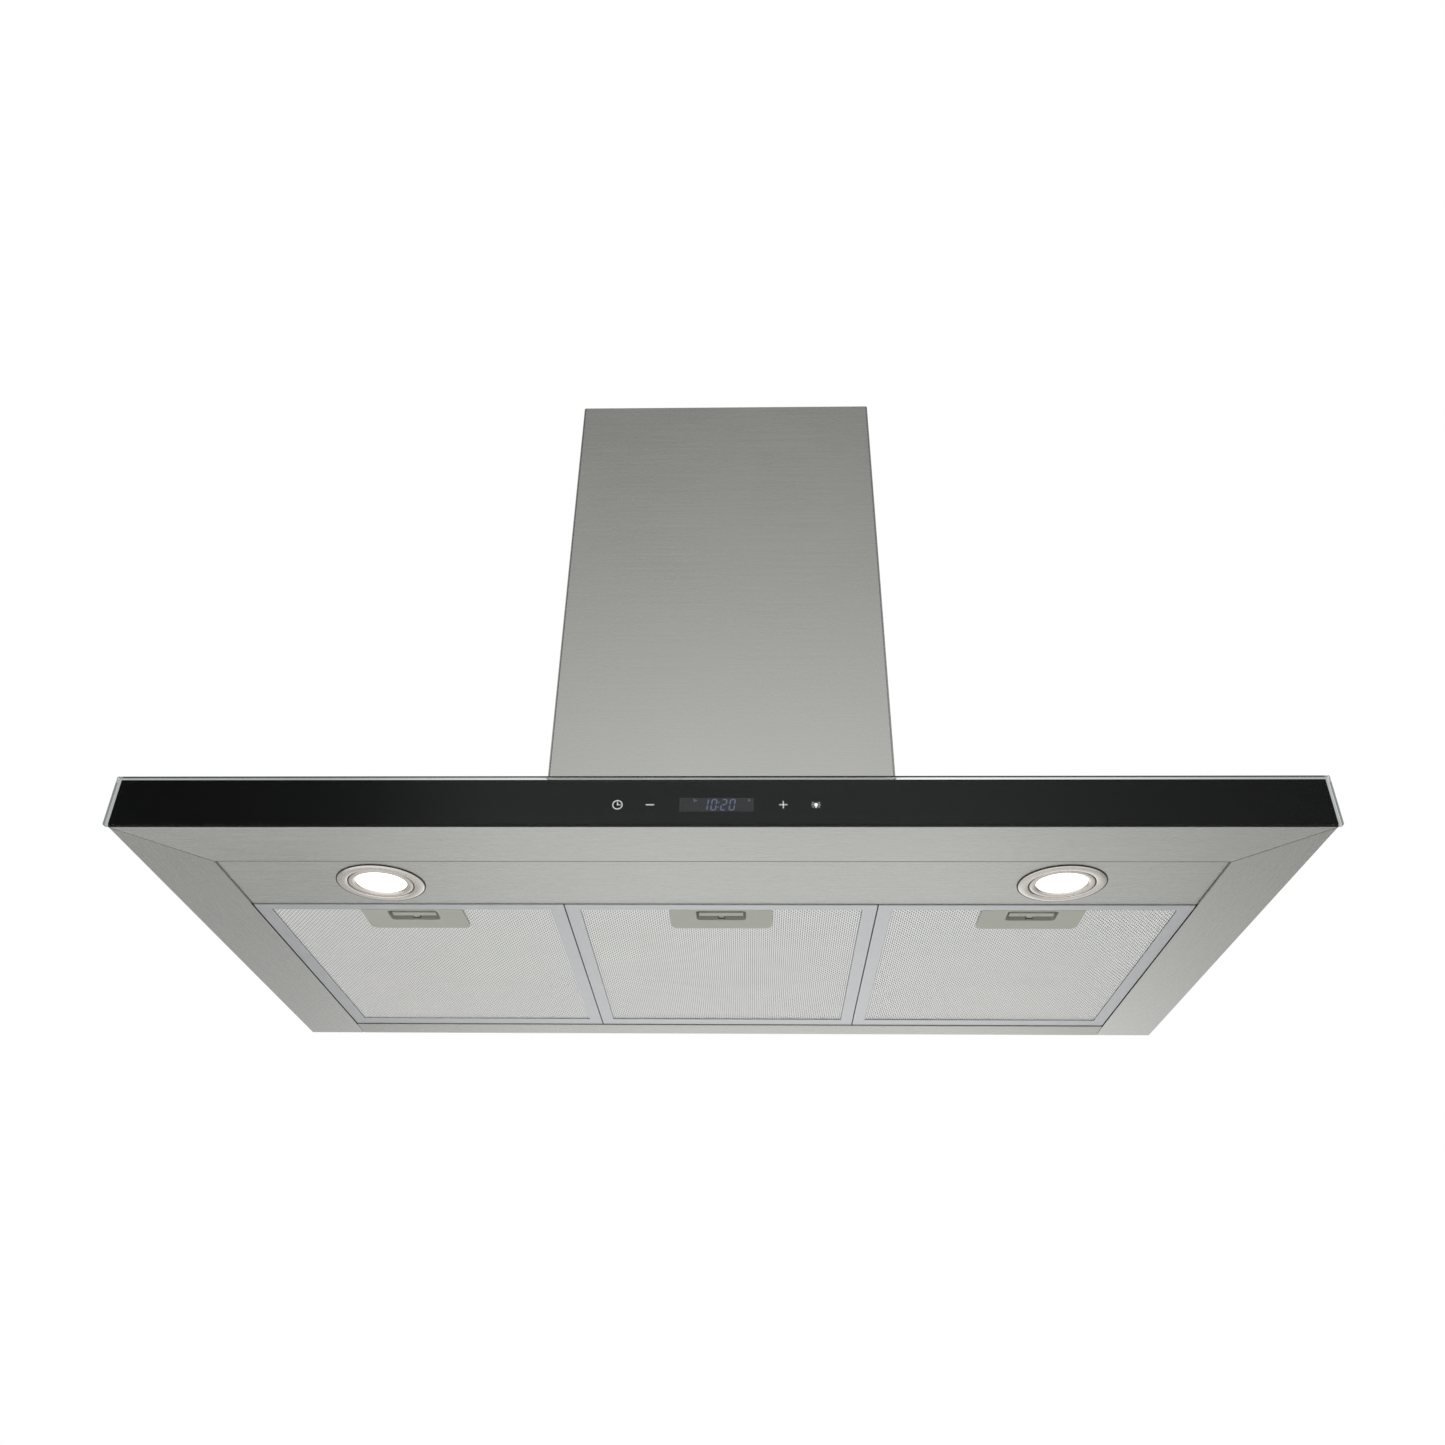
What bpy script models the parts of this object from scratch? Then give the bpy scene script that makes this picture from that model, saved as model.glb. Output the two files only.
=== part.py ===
"""Slim T-shaped island range hood: glass-fronted steel canopy, three grease filters,
two lamps, twin-inlet blower and a telescoping four-sided chimney on a ceiling frame.

Metres, +Z up, front along -Y.  Origin: centre of the canopy's underside.
Assembly: the ceiling frame and upper covers hang from the ceiling; everything else
is the hood, which slides down on the posts.  Filters, latches, fan and dampers move.
"""
import math

import bmesh
import bpy
from mathutils import Matrix

# ---------------------------------------------------------------- driving sizes
FIT = 0.0003                # gap between pieces that touch
SHEET = 0.0012              # stainless sheet
ROUND_STEPS = 40            # facets of the larger round pieces
SMALL_STEPS = 16            # facets of pins and bolts
SMOOTH_ANGLE = math.radians(32)
MERGE = 0.000001

# glass front and canopy
GLASS_WIDTH = 0.900
GLASS_HEIGHT = 0.040
GLASS_THICKNESS = 0.005
GLASS_OVERHANG = 0.0025     # glass past the steel at each end
GLASS_RISE = 0.002          # glass above the steel
TOTAL_DEPTH = 0.500         # glass front to canopy back
FRONT_STRIP = 0.0585        # bottom strip behind the glass
BOTTOM_LIP = 0.0115         # upturned inner edge of the bottom strips
AIR_HOLE_X = 0.190
AIR_HOLE_Y = 0.226

# lamp panel and lamps
PANEL_DEPTH = 0.0868
PANEL_RECESS = 0.0018
PANEL_GAP = 0.0006
PANEL_LIP = 0.0085          # catch lip for the filter latches, above z = 0
LAMP_SPACING = 0.5448
LAMP_FRONT_EDGE = 0.0444    # lamp axis behind the panel's front edge
TRIM_RADIUS = 0.0348
TRIM_BORE = 0.0265
TRIM_WALL = 0.0014
TRIM_HEIGHT = 0.026
RING_GROOVE = 0.0008
RING_BORE = 0.0200
BULB_HEIGHT = 0.024
BULB_BOWL_HEIGHT = 0.0108
BULB_BOWL_TAPER = 0.0042    # bowl's top narrower than the lens by this much
BULB_NECK_START = 0.0192
BULB_NECK_RADIUS = 0.008
SOCKET_RADIUS = 0.010
SOCKET_HEIGHT = 0.0075

# grease filters
FILTER_COUNT = 3
FILTER_WIDTH = 0.260
FILTER_DEPTH = 0.318
FILTER_THICKNESS = 0.0095
FILTER_GAP = 0.0008
FILTER_RECESS = 0.0008
FILTER_BORDER = 0.012
FILTER_FRONT_BORDER = 0.0098
FILTER_REAR_BORDER = 0.015
FILTER_SKIN = 0.001         # wall of the folded aluminium channel
MESH_THICKNESS = 0.003
HINGE_INSET = 0.0015        # hinge axis ahead of the filter's rear edge
HINGE_HEIGHT = 0.0025       # hinge axis above the filter's underside
REAR_SWING_GAP = 0.0018
TAB_WIDTH = 0.020
TAB_SPACING = 0.170
TAB_REACH = 0.007

# filter handle, latch and spring
HANDLE_WIDTH = 0.086
HANDLE_DEPTH = 0.0405
HANDLE_HEIGHT = 0.0090
HANDLE_CORNER = 0.006
POCKET_WIDTH = 0.042
POCKET_DEPTH = 0.020
POCKET_FRONT_WALL = 0.0022
POCKET_CORNER = 0.0035
POCKET_ROOF = 0.0018
LATCH_TRAVEL = 0.006
LATCH_RIDGE = 0.0065
LATCH_RIDGE_SETBACK = 0.007
LATCH_NOSE_WIDTH = 0.024
LATCH_NOSE_THICKNESS = 0.0018
LATCH_NOSE_HEIGHT = 0.0051
LATCH_TAIL_WIDTH = 0.0048
LATCH_TAIL_LENGTH = 0.010
SPRING_RADIUS = 0.0017
SPRING_WIRE = 0.00025
SPRING_TURNS = 5
SPRING_STEPS = 10           # sections in each turn
SPRING_SIDES = 5
SPRING_SHORTEST = 0.0065

# touch control
CONTROL_WIDTH = 0.166
CONTROL_HEIGHT = 0.0230
CONTROL_DEPTH = 0.0170
CONTROL_WALL = 0.0015
CONTROL_CENTRE_Z = 0.0180
DISPLAY_WIDTH = 0.0570
DISPLAY_HEIGHT = 0.0135
DISPLAY_DEPTH = 0.0040
BOARD_THICKNESS = 0.0016
KEY_INNER_X = 0.0490
KEY_OUTER_X = 0.0730
KEY_PAD_RADIUS = 0.0045
KEY_BAR_THICKNESS = 0.0015
KEY_BAR_MARGIN = 0.00045

# chimney covers, posts and ceiling frame
CHIMNEY_WIDTH = 0.296
CHIMNEY_DEPTH = 0.270
CHIMNEY_TOP = 0.542
COVER_RADIUS = 0.002
COVER_GAP = 0.0015          # between the lower and the upper cover
UPPER_COVER_FOOT = 0.072
TELESCOPE_TRAVEL = 0.300
PLATE_THICKNESS = 0.002
POST_LEG = 0.025
POST_WALL = 0.002
POST_GAP = 0.0006           # between the upper and the lower posts
POST_TOP_ROOM = 0.042       # from the lower posts' top to the ceiling
UPPER_POST_FOOT = 0.090
DUCT_HOLE_RADIUS = 0.078
CEILING_SCREW_RADIUS = 0.003
CEILING_SCREW_INSET = 0.036
BOLT_DROP = 0.030           # frame bolts below the lower posts' top
BOLT_RADIUS = 0.003
BOLT_HEAD_RADIUS = 0.006
BOLT_HEAD_HEIGHT = 0.004
VENT_COUNT = 5
VENT_PITCH = 0.010
VENT_HEIGHT = 0.0035
VENT_LENGTH = 0.070
VENT_TOP_MARGIN = 0.045

# blower
SCROLL_CLEARANCE = 0.008    # fan to scroll at the tongue
SCROLL_GROWTH = 0.022       # more radius at the outlet wall than at the tongue
SCROLL_WALL = 0.0015
SCROLL_STEPS = 22
TONGUE_ANGLE = math.radians(130)
OUTLET_RISE = 0.030         # outlet above the fan's top
BLOWER_INNER_WIDTH = 0.200
SCROLL_FLOOR_ROOM = 0.0147  # deck to the level of the scroll's largest radius
LEG_WIDTH = 0.020
LEG_SPACING = 0.090
FAN_RADIUS = 0.070
FAN_BLADE_DEPTH = 0.010
FAN_LENGTH = 0.160
FAN_RIM = 0.004
FAN_SLOTS = 18
WEB_THICKNESS = 0.003
HUB_RADIUS = 0.012
HUB_LENGTH = 0.030
SHAFT_RADIUS = 0.004
SHAFT_BORE_PLAY = 0.0001
SHAFT_IN_MOTOR = 0.018
MOTOR_RADIUS = 0.043
MOTOR_START = 0.030         # motor face to the right of the fan's middle
MOTOR_LENGTH = 0.080
BRACKET_RING = 0.006
BRACKET_THICKNESS = 0.0025
BRACKET_FOOT = 0.014        # arm's reach over the inlet's edge
BRACKET_ARM = 0.010
BRACKET_ARMS = 3
BRACKET_FIRST_ARM = 90      # degrees from +Y
COLLAR_RADIUS = 0.0745
COLLAR_WALL = 0.0012
COLLAR_HEIGHT = 0.055
PIN_RADIUS = 0.0015
PIN_HEIGHT = 0.018          # damper pin above the collar's flange
FLAP_THICKNESS = 0.0012
FLAP_PLAY = 0.0008
FLAP_PIN_GAP = 0.0008
CAPACITOR_RADIUS = 0.014
CAPACITOR_HEIGHT = 0.055

# electrical pieces
DRIVER_SIZE = (0.072, 0.062, 0.022)
TERMINAL_SIZE = (0.030, 0.070, 0.045)
GLAND_RADIUS = 0.009
GLAND_BORE = 0.0045
GLAND_HEIGHT = 0.020
GLAND_BARREL = 0.012
GLAND_NOSE_RADIUS = 0.00675

# ---------------------------------------------------------------- derived places
CANOPY_WIDTH = GLASS_WIDTH - 2 * GLASS_OVERHANG
CANOPY_HEIGHT = GLASS_HEIGHT - GLASS_RISE
FRONT = -TOTAL_DEPTH / 2
STEEL_FRONT = FRONT + GLASS_THICKNESS + FIT
REAR = TOTAL_DEPTH / 2
HALF_WIDTH = CANOPY_WIDTH / 2
FILTER_ROW = FILTER_COUNT * FILTER_WIDTH + (FILTER_COUNT - 1) * FILTER_GAP
OPENING_HALF = FILTER_ROW / 2 + FILTER_GAP
STRIP_REAR = STEEL_FRONT + FRONT_STRIP
PANEL_FRONT = STRIP_REAR + FIT
PANEL_REAR = PANEL_FRONT + PANEL_DEPTH
FILTER_FRONT = PANEL_REAR + PANEL_GAP
FILTER_REAR = FILTER_FRONT + FILTER_DEPTH
REAR_STRIP_FRONT = FILTER_REAR + REAR_SWING_GAP
ROOF_UNDER = CANOPY_HEIGHT - SHEET
DECK = CANOPY_HEIGHT + FIT                      # what stands on the canopy's roof
DECK_TOP = DECK + PLATE_THICKNESS
LOWER_POST_TOP = CHIMNEY_TOP - POST_TOP_ROOM
BOLT_HEIGHT = LOWER_POST_TOP - BOLT_DROP
LOWER_HALF = (CHIMNEY_WIDTH / 2, CHIMNEY_DEPTH / 2)
UPPER_HALF = tuple(half - SHEET - COVER_GAP for half in LOWER_HALF)
UPPER_POST_HALF = tuple(half - SHEET - FIT for half in UPPER_HALF)
LOWER_POST_HALF = tuple(half - POST_WALL - POST_GAP for half in UPPER_POST_HALF)
SCROLL_START = FAN_RADIUS + SCROLL_CLEARANCE    # inner radius at the tongue
SCROLL_END = SCROLL_START + SCROLL_GROWTH       # inner radius at the outlet wall
OUTLET_HEIGHT = FAN_RADIUS + OUTLET_RISE        # above the fan's axis
FAN_HEIGHT = DECK_TOP + SCROLL_FLOOR_ROOM + SCROLL_END
INLET_RADIUS = FAN_RADIUS - FAN_BLADE_DEPTH
TONGUE_Y = SCROLL_START * math.cos(TONGUE_ANGLE)
FAN_Y = -(TONGUE_Y + SCROLL_END) / 2
BLOWER_SIDE = BLOWER_INNER_WIDTH / 2 + FIT
BLOWER_OUTSIDE = BLOWER_SIDE + SCROLL_WALL
COLLAR_FOOT = FAN_HEIGHT + OUTLET_HEIGHT + FIT
COLLAR_BORE = COLLAR_RADIUS - COLLAR_WALL

for old in list(bpy.data.objects):
    bpy.data.objects.remove(old, do_unlink=True)


# ---------------------------------------------------------------- materials
def make_material(name, colour, roughness, metallic):
    finish = bpy.data.materials.new(name)
    finish.use_nodes = True
    shader = finish.node_tree.nodes["Principled BSDF"]
    shader.inputs["Base Color"].default_value = (*colour, 1)
    shader.inputs["Roughness"].default_value = roughness
    shader.inputs["Metallic"].default_value = metallic
    finish.diffuse_color = (*colour, 1)
    return finish


BRUSHED = make_material("brushed_stainless", (0.48, 0.48, 0.46), 0.35, 1.0)
GALVANISED = make_material("galvanised_steel", (0.42, 0.43, 0.44), 0.5, 1.0)
BLACK_GLASS = make_material("black_glass", (0.004, 0.004, 0.004), 0.05, 0.0)
ALUMINIUM = make_material("filter_aluminium", (0.55, 0.56, 0.57), 0.4, 1.0)
MESH = make_material("filter_mesh", (0.62, 0.62, 0.61), 0.45, 1.0)
GREY_PLASTIC = make_material("grey_plastic", (0.38, 0.40, 0.33), 0.45, 0.0)
BLACK_PLASTIC = make_material("black_plastic", (0.03, 0.03, 0.03), 0.5, 0.0)
WHITE_PLASTIC = make_material("white_plastic", (0.75, 0.75, 0.72), 0.45, 0.0)
DISPLAY_PLASTIC = make_material("display_plastic", (0.05, 0.05, 0.055), 0.3, 0.0)
BOARD_GREEN = make_material("circuit_board", (0.03, 0.16, 0.06), 0.5, 0.0)
SATIN_CHROME = make_material("satin_chrome", (0.60, 0.58, 0.56), 0.25, 1.0)
LAMP_GLASS = make_material("lamp_glass", (1.0, 0.97, 0.88), 0.2, 0.0)
CERAMIC = make_material("ceramic", (0.80, 0.78, 0.72), 0.6, 0.0)
STEEL = make_material("bright_steel", (0.55, 0.55, 0.55), 0.3, 1.0)


# ---------------------------------------------------------------- shape building
def on_axis(axis, u, v, along):
    """Point with `along` on the named axis and u, v on the other two, in X-Y-Z order."""
    spots = {"X": (along, u, v), "Y": (u, along, v), "Z": (u, v, along)}
    return spots[axis]


def box_shape(*spans):
    """One closed box for each (low corner, high corner)."""
    shape = bmesh.new()
    for low, high in spans:
        size = [b - a for a, b in zip(low, high)]
        centre = [(a + b) / 2 for a, b in zip(low, high)]
        place = Matrix.Translation(centre) @ Matrix.Diagonal((*size, 1))
        bmesh.ops.create_cube(shape, size=1, matrix=place)
    return shape


def prism_shape(outline, start, end, axis="Z"):
    """Flat outline pushed from start to end along an axis."""
    shape = bmesh.new()
    corners = [shape.verts.new(on_axis(axis, u, v, start)) for u, v in outline]
    base = shape.faces.new(corners)
    grown = bmesh.ops.extrude_face_region(shape, geom=[base])
    moved = [item for item in grown["geom"] if isinstance(item, bmesh.types.BMVert)]
    bmesh.ops.translate(shape, verts=moved, vec=on_axis(axis, 0, 0, end - start))
    return shape


def lofted_shape(loops):
    """Skin over a run of closed loops with equal point counts, capped at both ends."""
    shape = bmesh.new()
    rings = [[shape.verts.new(point) for point in loop] for loop in loops]
    for near, far in zip(rings, rings[1:]):
        for k in range(len(near)):
            shape.faces.new((near[k - 1], near[k], far[k], far[k - 1]))
    shape.faces.new(rings[0])
    shape.faces.new(rings[-1])
    return shape


def turned_shape(profile, steps, axis="Z", centre=(0, 0, 0)):
    """Closed (radius, height) profile spun about an axis through centre."""
    shape = bmesh.new()
    verts = [shape.verts.new((radius, 0, height)) for radius, height in profile]
    edges = [shape.edges.new((verts[k - 1], verts[k])) for k in range(len(verts))]
    bmesh.ops.spin(shape, geom=verts + edges, cent=(0, 0, 0), axis=(0, 0, 1),
                   angle=2 * math.pi, steps=steps)
    bmesh.ops.remove_doubles(shape, verts=shape.verts, dist=MERGE)
    turns = {"X": Matrix.Rotation(math.pi / 2, 4, "Y"), "Y": Matrix.Rotation(-math.pi / 2, 4, "X"),
             "Z": Matrix.Identity(4)}
    bmesh.ops.transform(shape, matrix=Matrix.Translation(centre) @ turns[axis], verts=shape.verts)
    return shape


def rod_shape(radius, start, end, axis, centre=(0, 0), steps=SMALL_STEPS):
    """Plain round rod from start to end along an axis; centre is on the other two."""
    circle = [(centre[0] + radius * math.cos(2 * math.pi * k / steps),
               centre[1] + radius * math.sin(2 * math.pi * k / steps)) for k in range(steps)]
    return prism_shape(circle, start, end, axis)


def rounded_outline(low, high, radii, steps=4):
    """Rectangle with a radius at each corner: front left, front right, rear right, rear left."""
    corners = [(low[0], low[1], 180), (high[0], low[1], 270), (high[0], high[1], 0), (low[0], high[1], 90)]
    points = []
    for (x, y, start), radius in zip(corners, radii):
        if radius == 0:
            points.append((x, y))
            continue
        centre_x = x + radius if x == low[0] else x - radius
        centre_y = y + radius if y == low[1] else y - radius
        for k in range(steps + 1):
            angle = math.radians(start + 90 * k / steps)
            points.append((centre_x + radius * math.cos(angle), centre_y + radius * math.sin(angle)))
    return points


def add_piece(name, shape, finish, parent=None, place=(0, 0, 0), smooth=False):
    bmesh.ops.recalc_face_normals(shape, faces=shape.faces)
    mesh = bpy.data.meshes.new(name)
    shape.to_mesh(mesh)
    shape.free()
    if finish:
        mesh.materials.append(finish)
    if smooth:
        mesh.shade_smooth()
        mesh.set_sharp_from_angle(angle=SMOOTH_ANGLE)
    piece = bpy.data.objects.new(name, mesh)
    piece.location = place
    piece.parent = parent
    bpy.context.scene.collection.objects.link(piece)
    return piece


def combine(piece, name, shape, operation):
    """Cut a guide shape out of a piece, or weld it on."""
    guide = add_piece(f"{name}_guide", shape, None, piece.parent, piece.location)
    guide.hide_render = True
    guide.display_type = "WIRE"
    step = piece.modifiers.new(name, "BOOLEAN")
    step.operation = operation
    step.solver = "EXACT"
    step.object = guide


def cut(piece, name, shape):
    combine(piece, name, shape, "DIFFERENCE")


def weld(piece, name, shape):
    combine(piece, name, shape, "UNION")


def add_frame(name, place, parent=None):
    frame = bpy.data.objects.new(name, None)
    frame.location = place
    frame.parent = parent
    bpy.context.scene.collection.objects.link(frame)
    return frame


CEILING_SECTION = add_frame("ceiling_section", (0, 0, 0))
HOOD = add_frame("hood", (0, 0, 0), CEILING_SECTION)


# ---------------------------------------------------------------- canopy
def make_canopy_shell():
    """Inverted folded tray that stands on the bottom strips."""
    foot = SHEET + FIT
    shell = add_piece("canopy_shell", box_shape(
        ((-HALF_WIDTH, STEEL_FRONT, foot), (HALF_WIDTH, REAR, CANOPY_HEIGHT))), BRUSHED, HOOD)
    cut(shell, "canopy_hollow", box_shape(
        ((-HALF_WIDTH + SHEET, STEEL_FRONT + SHEET, -foot), (HALF_WIDTH - SHEET, REAR - SHEET, ROOF_UNDER))))
    cut(shell, "canopy_air_hole", box_shape(
        ((-AIR_HOLE_X / 2, -AIR_HOLE_Y / 2, ROOF_UNDER - SHEET),
         (AIR_HOLE_X / 2, AIR_HOLE_Y / 2, CANOPY_HEIGHT + SHEET))))
    half = CONTROL_WIDTH / 2 + FIT
    cut(shell, "control_window", box_shape(
        ((-half, STEEL_FRONT - SHEET, CONTROL_CENTRE_Z - CONTROL_HEIGHT / 2 - FIT),
         (half, STEEL_FRONT + 2 * SHEET, CONTROL_CENTRE_Z + CONTROL_HEIGHT / 2 + FIT))))


def make_bottom_strips():
    """Flat strips with an upturned inner lip, mitred at the front corners."""
    slope = (HALF_WIDTH - OPENING_HALF) / FRONT_STRIP

    def mitre_x(y):
        return HALF_WIDTH - (y - STEEL_FRONT) * slope

    section = [(STEEL_FRONT, 0), (STRIP_REAR, 0), (STRIP_REAR, BOTTOM_LIP),
               (STRIP_REAR - SHEET, BOTTOM_LIP), (STRIP_REAR - SHEET, SHEET), (STEEL_FRONT, SHEET)]
    ends = [[(side * (mitre_x(y) - FIT), y, z) for y, z in section] for side in (-1, 1)]
    add_piece("bottom_strip_front", lofted_shape(ends), BRUSHED, HOOD)

    inner = OPENING_HALF
    for name, side in (("left", -1), ("right", 1)):
        section = [(HALF_WIDTH, 0), (inner, 0), (inner, BOTTOM_LIP),
                   (inner + SHEET, BOTTOM_LIP), (inner + SHEET, SHEET), (HALF_WIDTH, SHEET)]
        front = [(side * x, STEEL_FRONT + (HALF_WIDTH - x) / slope, z) for x, z in section]
        back = [(side * x, REAR, z) for x, z in section]
        strip = add_piece(f"bottom_strip_{name}", lofted_shape([front, back]), BRUSHED, HOOD)
        span = sorted((side * (inner - SHEET), side * (inner + 2 * SHEET)))
        cut(strip, f"lip_end_{name}", box_shape(
            ((span[0], REAR - SHEET - FIT, SHEET), (span[1], REAR + SHEET, 2 * BOTTOM_LIP))))

    section = [(REAR, 0), (REAR_STRIP_FRONT, 0), (REAR_STRIP_FRONT, BOTTOM_LIP),
               (REAR_STRIP_FRONT + SHEET, BOTTOM_LIP), (REAR_STRIP_FRONT + SHEET, SHEET), (REAR, SHEET)]
    ends = [[(side * (inner - FIT), y, z) for y, z in section] for side in (-1, 1)]
    add_piece("bottom_strip_rear", lofted_shape(ends), BRUSHED, HOOD)


def make_glass():
    low = (-GLASS_WIDTH / 2, FRONT, 0)
    high = (GLASS_WIDTH / 2, FRONT + GLASS_THICKNESS, GLASS_HEIGHT)
    add_piece("glass_panel", box_shape((low, high)), BLACK_GLASS, HOOD)


def make_control():
    """Touch control behind the glass: open-fronted housing, board, display and key strips."""
    face = FRONT + GLASS_THICKNESS + FIT
    low_z = CONTROL_CENTRE_Z - CONTROL_HEIGHT / 2
    high_z = CONTROL_CENTRE_Z + CONTROL_HEIGHT / 2
    half = CONTROL_WIDTH / 2
    housing = add_piece("control_housing", box_shape(
        ((-half, face, low_z), (half, face + CONTROL_DEPTH, high_z))), BLACK_PLASTIC, HOOD)
    wall = CONTROL_WALL
    cut(housing, "control_hollow", box_shape(
        ((-half + wall, face - wall, low_z + wall),
         (half - wall, face + CONTROL_DEPTH - wall, high_z - wall))))

    add_piece("display_module", box_shape(
        ((-DISPLAY_WIDTH / 2, face, CONTROL_CENTRE_Z - DISPLAY_HEIGHT / 2),
         (DISPLAY_WIDTH / 2, face + DISPLAY_DEPTH, CONTROL_CENTRE_Z + DISPLAY_HEIGHT / 2))),
        DISPLAY_PLASTIC, HOOD)

    board_front = face + DISPLAY_DEPTH + FIT
    inside = half - wall - FIT
    add_piece("control_board", box_shape(
        ((-inside, board_front, low_z + wall + FIT),
         (inside, board_front + BOARD_THICKNESS, high_z - wall - FIT))), BOARD_GREEN, HOOD)

    bar_front = board_front - FIT - KEY_BAR_THICKNESS
    for name, side in (("left", -1), ("right", 1)):
        span = sorted(side * x for x in (KEY_INNER_X - KEY_PAD_RADIUS, KEY_OUTER_X + KEY_PAD_RADIUS))
        keys = add_piece(f"touch_keys_{name}", box_shape(
            ((span[0], bar_front, CONTROL_CENTRE_Z - KEY_PAD_RADIUS),
             (span[1], bar_front + KEY_BAR_THICKNESS, CONTROL_CENTRE_Z + KEY_PAD_RADIUS))),
            WHITE_PLASTIC, HOOD)
        for key, x in (("inner", KEY_INNER_X), ("outer", KEY_OUTER_X)):
            pad = rod_shape(KEY_PAD_RADIUS - KEY_BAR_MARGIN, face, bar_front + KEY_BAR_THICKNESS / 2, "Y",
                            (side * x, CONTROL_CENTRE_Z))
            weld(keys, f"key_{name}_{key}", pad)


# ---------------------------------------------------------------- lamps
def make_lamp_panel():
    width = OPENING_HALF - FIT
    top = PANEL_RECESS + SHEET
    section = [(PANEL_FRONT, BOTTOM_LIP), (PANEL_FRONT, PANEL_RECESS), (PANEL_REAR, PANEL_RECESS),
               (PANEL_REAR, PANEL_LIP), (PANEL_REAR - SHEET, PANEL_LIP), (PANEL_REAR - SHEET, top),
               (PANEL_FRONT + SHEET, top), (PANEL_FRONT + SHEET, BOTTOM_LIP)]
    ends = [[(x, y, z) for y, z in section] for x in (-width, width)]
    panel = add_piece("lamp_panel", lofted_shape(ends), BRUSHED, HOOD)
    for name, x in (("left", -LAMP_SPACING / 2), ("right", LAMP_SPACING / 2)):
        hole = rod_shape(TRIM_BORE + TRIM_WALL + FIT, 0, PANEL_LIP, "Z",
                         (x, PANEL_FRONT + LAMP_FRONT_EDGE), ROUND_STEPS)
        cut(panel, f"lamp_hole_{name}", hole)


def make_lamp(name, x):
    """Trim in the panel, retaining ring, reflector lamp and its holder, all on one axis."""
    centre = add_frame(f"lamp_axis_{name}", (x, PANEL_FRONT + LAMP_FRONT_EDGE, 0), HOOD)
    flange_top = PANEL_RECESS - FIT
    sleeve = TRIM_BORE + TRIM_WALL
    trim = [(TRIM_BORE, FIT), (TRIM_RADIUS - SHEET, FIT), (TRIM_RADIUS, flange_top),
            (sleeve, flange_top), (sleeve, TRIM_HEIGHT), (TRIM_BORE, TRIM_HEIGHT)]
    add_piece(f"lamp_trim_{name}", turned_shape(trim, ROUND_STEPS), SATIN_CHROME, centre, smooth=True)

    ring_outer = TRIM_BORE - RING_GROOVE
    ring_wall = TRIM_WALL
    ring_base = 2 * FIT
    ring_top = BULB_HEIGHT / 2
    ring = [(RING_BORE, ring_base + SHEET), (RING_BORE + SHEET, ring_base), (ring_outer, ring_base),
            (ring_outer, ring_top), (ring_outer - ring_wall, ring_top),
            (ring_outer - ring_wall, ring_base + 2 * SHEET), (RING_BORE, ring_base + 2 * SHEET)]
    add_piece(f"lamp_ring_{name}", turned_shape(ring, ROUND_STEPS), SATIN_CHROME, centre, smooth=True)

    bulb_base = ring_base + 2 * SHEET + FIT
    bulb_radius = ring_outer - ring_wall - FIT
    bulb_top = bulb_base + BULB_HEIGHT
    bulb = [(0, bulb_base), (bulb_radius, bulb_base), (bulb_radius, bulb_base + 2 * SHEET),
            (bulb_radius - BULB_BOWL_TAPER, bulb_base + BULB_BOWL_HEIGHT),
            (BULB_NECK_RADIUS, bulb_base + BULB_NECK_START), (BULB_NECK_RADIUS, bulb_top), (0, bulb_top)]
    add_piece(f"lamp_bulb_{name}", turned_shape(bulb, ROUND_STEPS), LAMP_GLASS, centre, smooth=True)

    socket = rod_shape(SOCKET_RADIUS, bulb_top + FIT, bulb_top + FIT + SOCKET_HEIGHT, "Z")
    add_piece(f"lamp_socket_{name}", socket, CERAMIC, centre)


# ---------------------------------------------------------------- grease filters
def spring_shape(start, length):
    """Coil along Y from start, with its wire ends cut square."""
    steps = SPRING_TURNS * SPRING_STEPS
    run = length - 2 * SPRING_WIRE
    loops = []
    for k in range(steps + 1):
        angle = 2 * math.pi * SPRING_TURNS * k / steps
        along = start + SPRING_WIRE + run * k / steps
        loop = []
        for side in range(SPRING_SIDES):
            turn = 2 * math.pi * side / SPRING_SIDES
            radius = SPRING_RADIUS + SPRING_WIRE * math.cos(turn)
            loop.append((radius * math.cos(angle), along + SPRING_WIRE * math.sin(turn),
                         radius * math.sin(angle)))
        loops.append(loop)
    return lofted_shape(loops)


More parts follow.
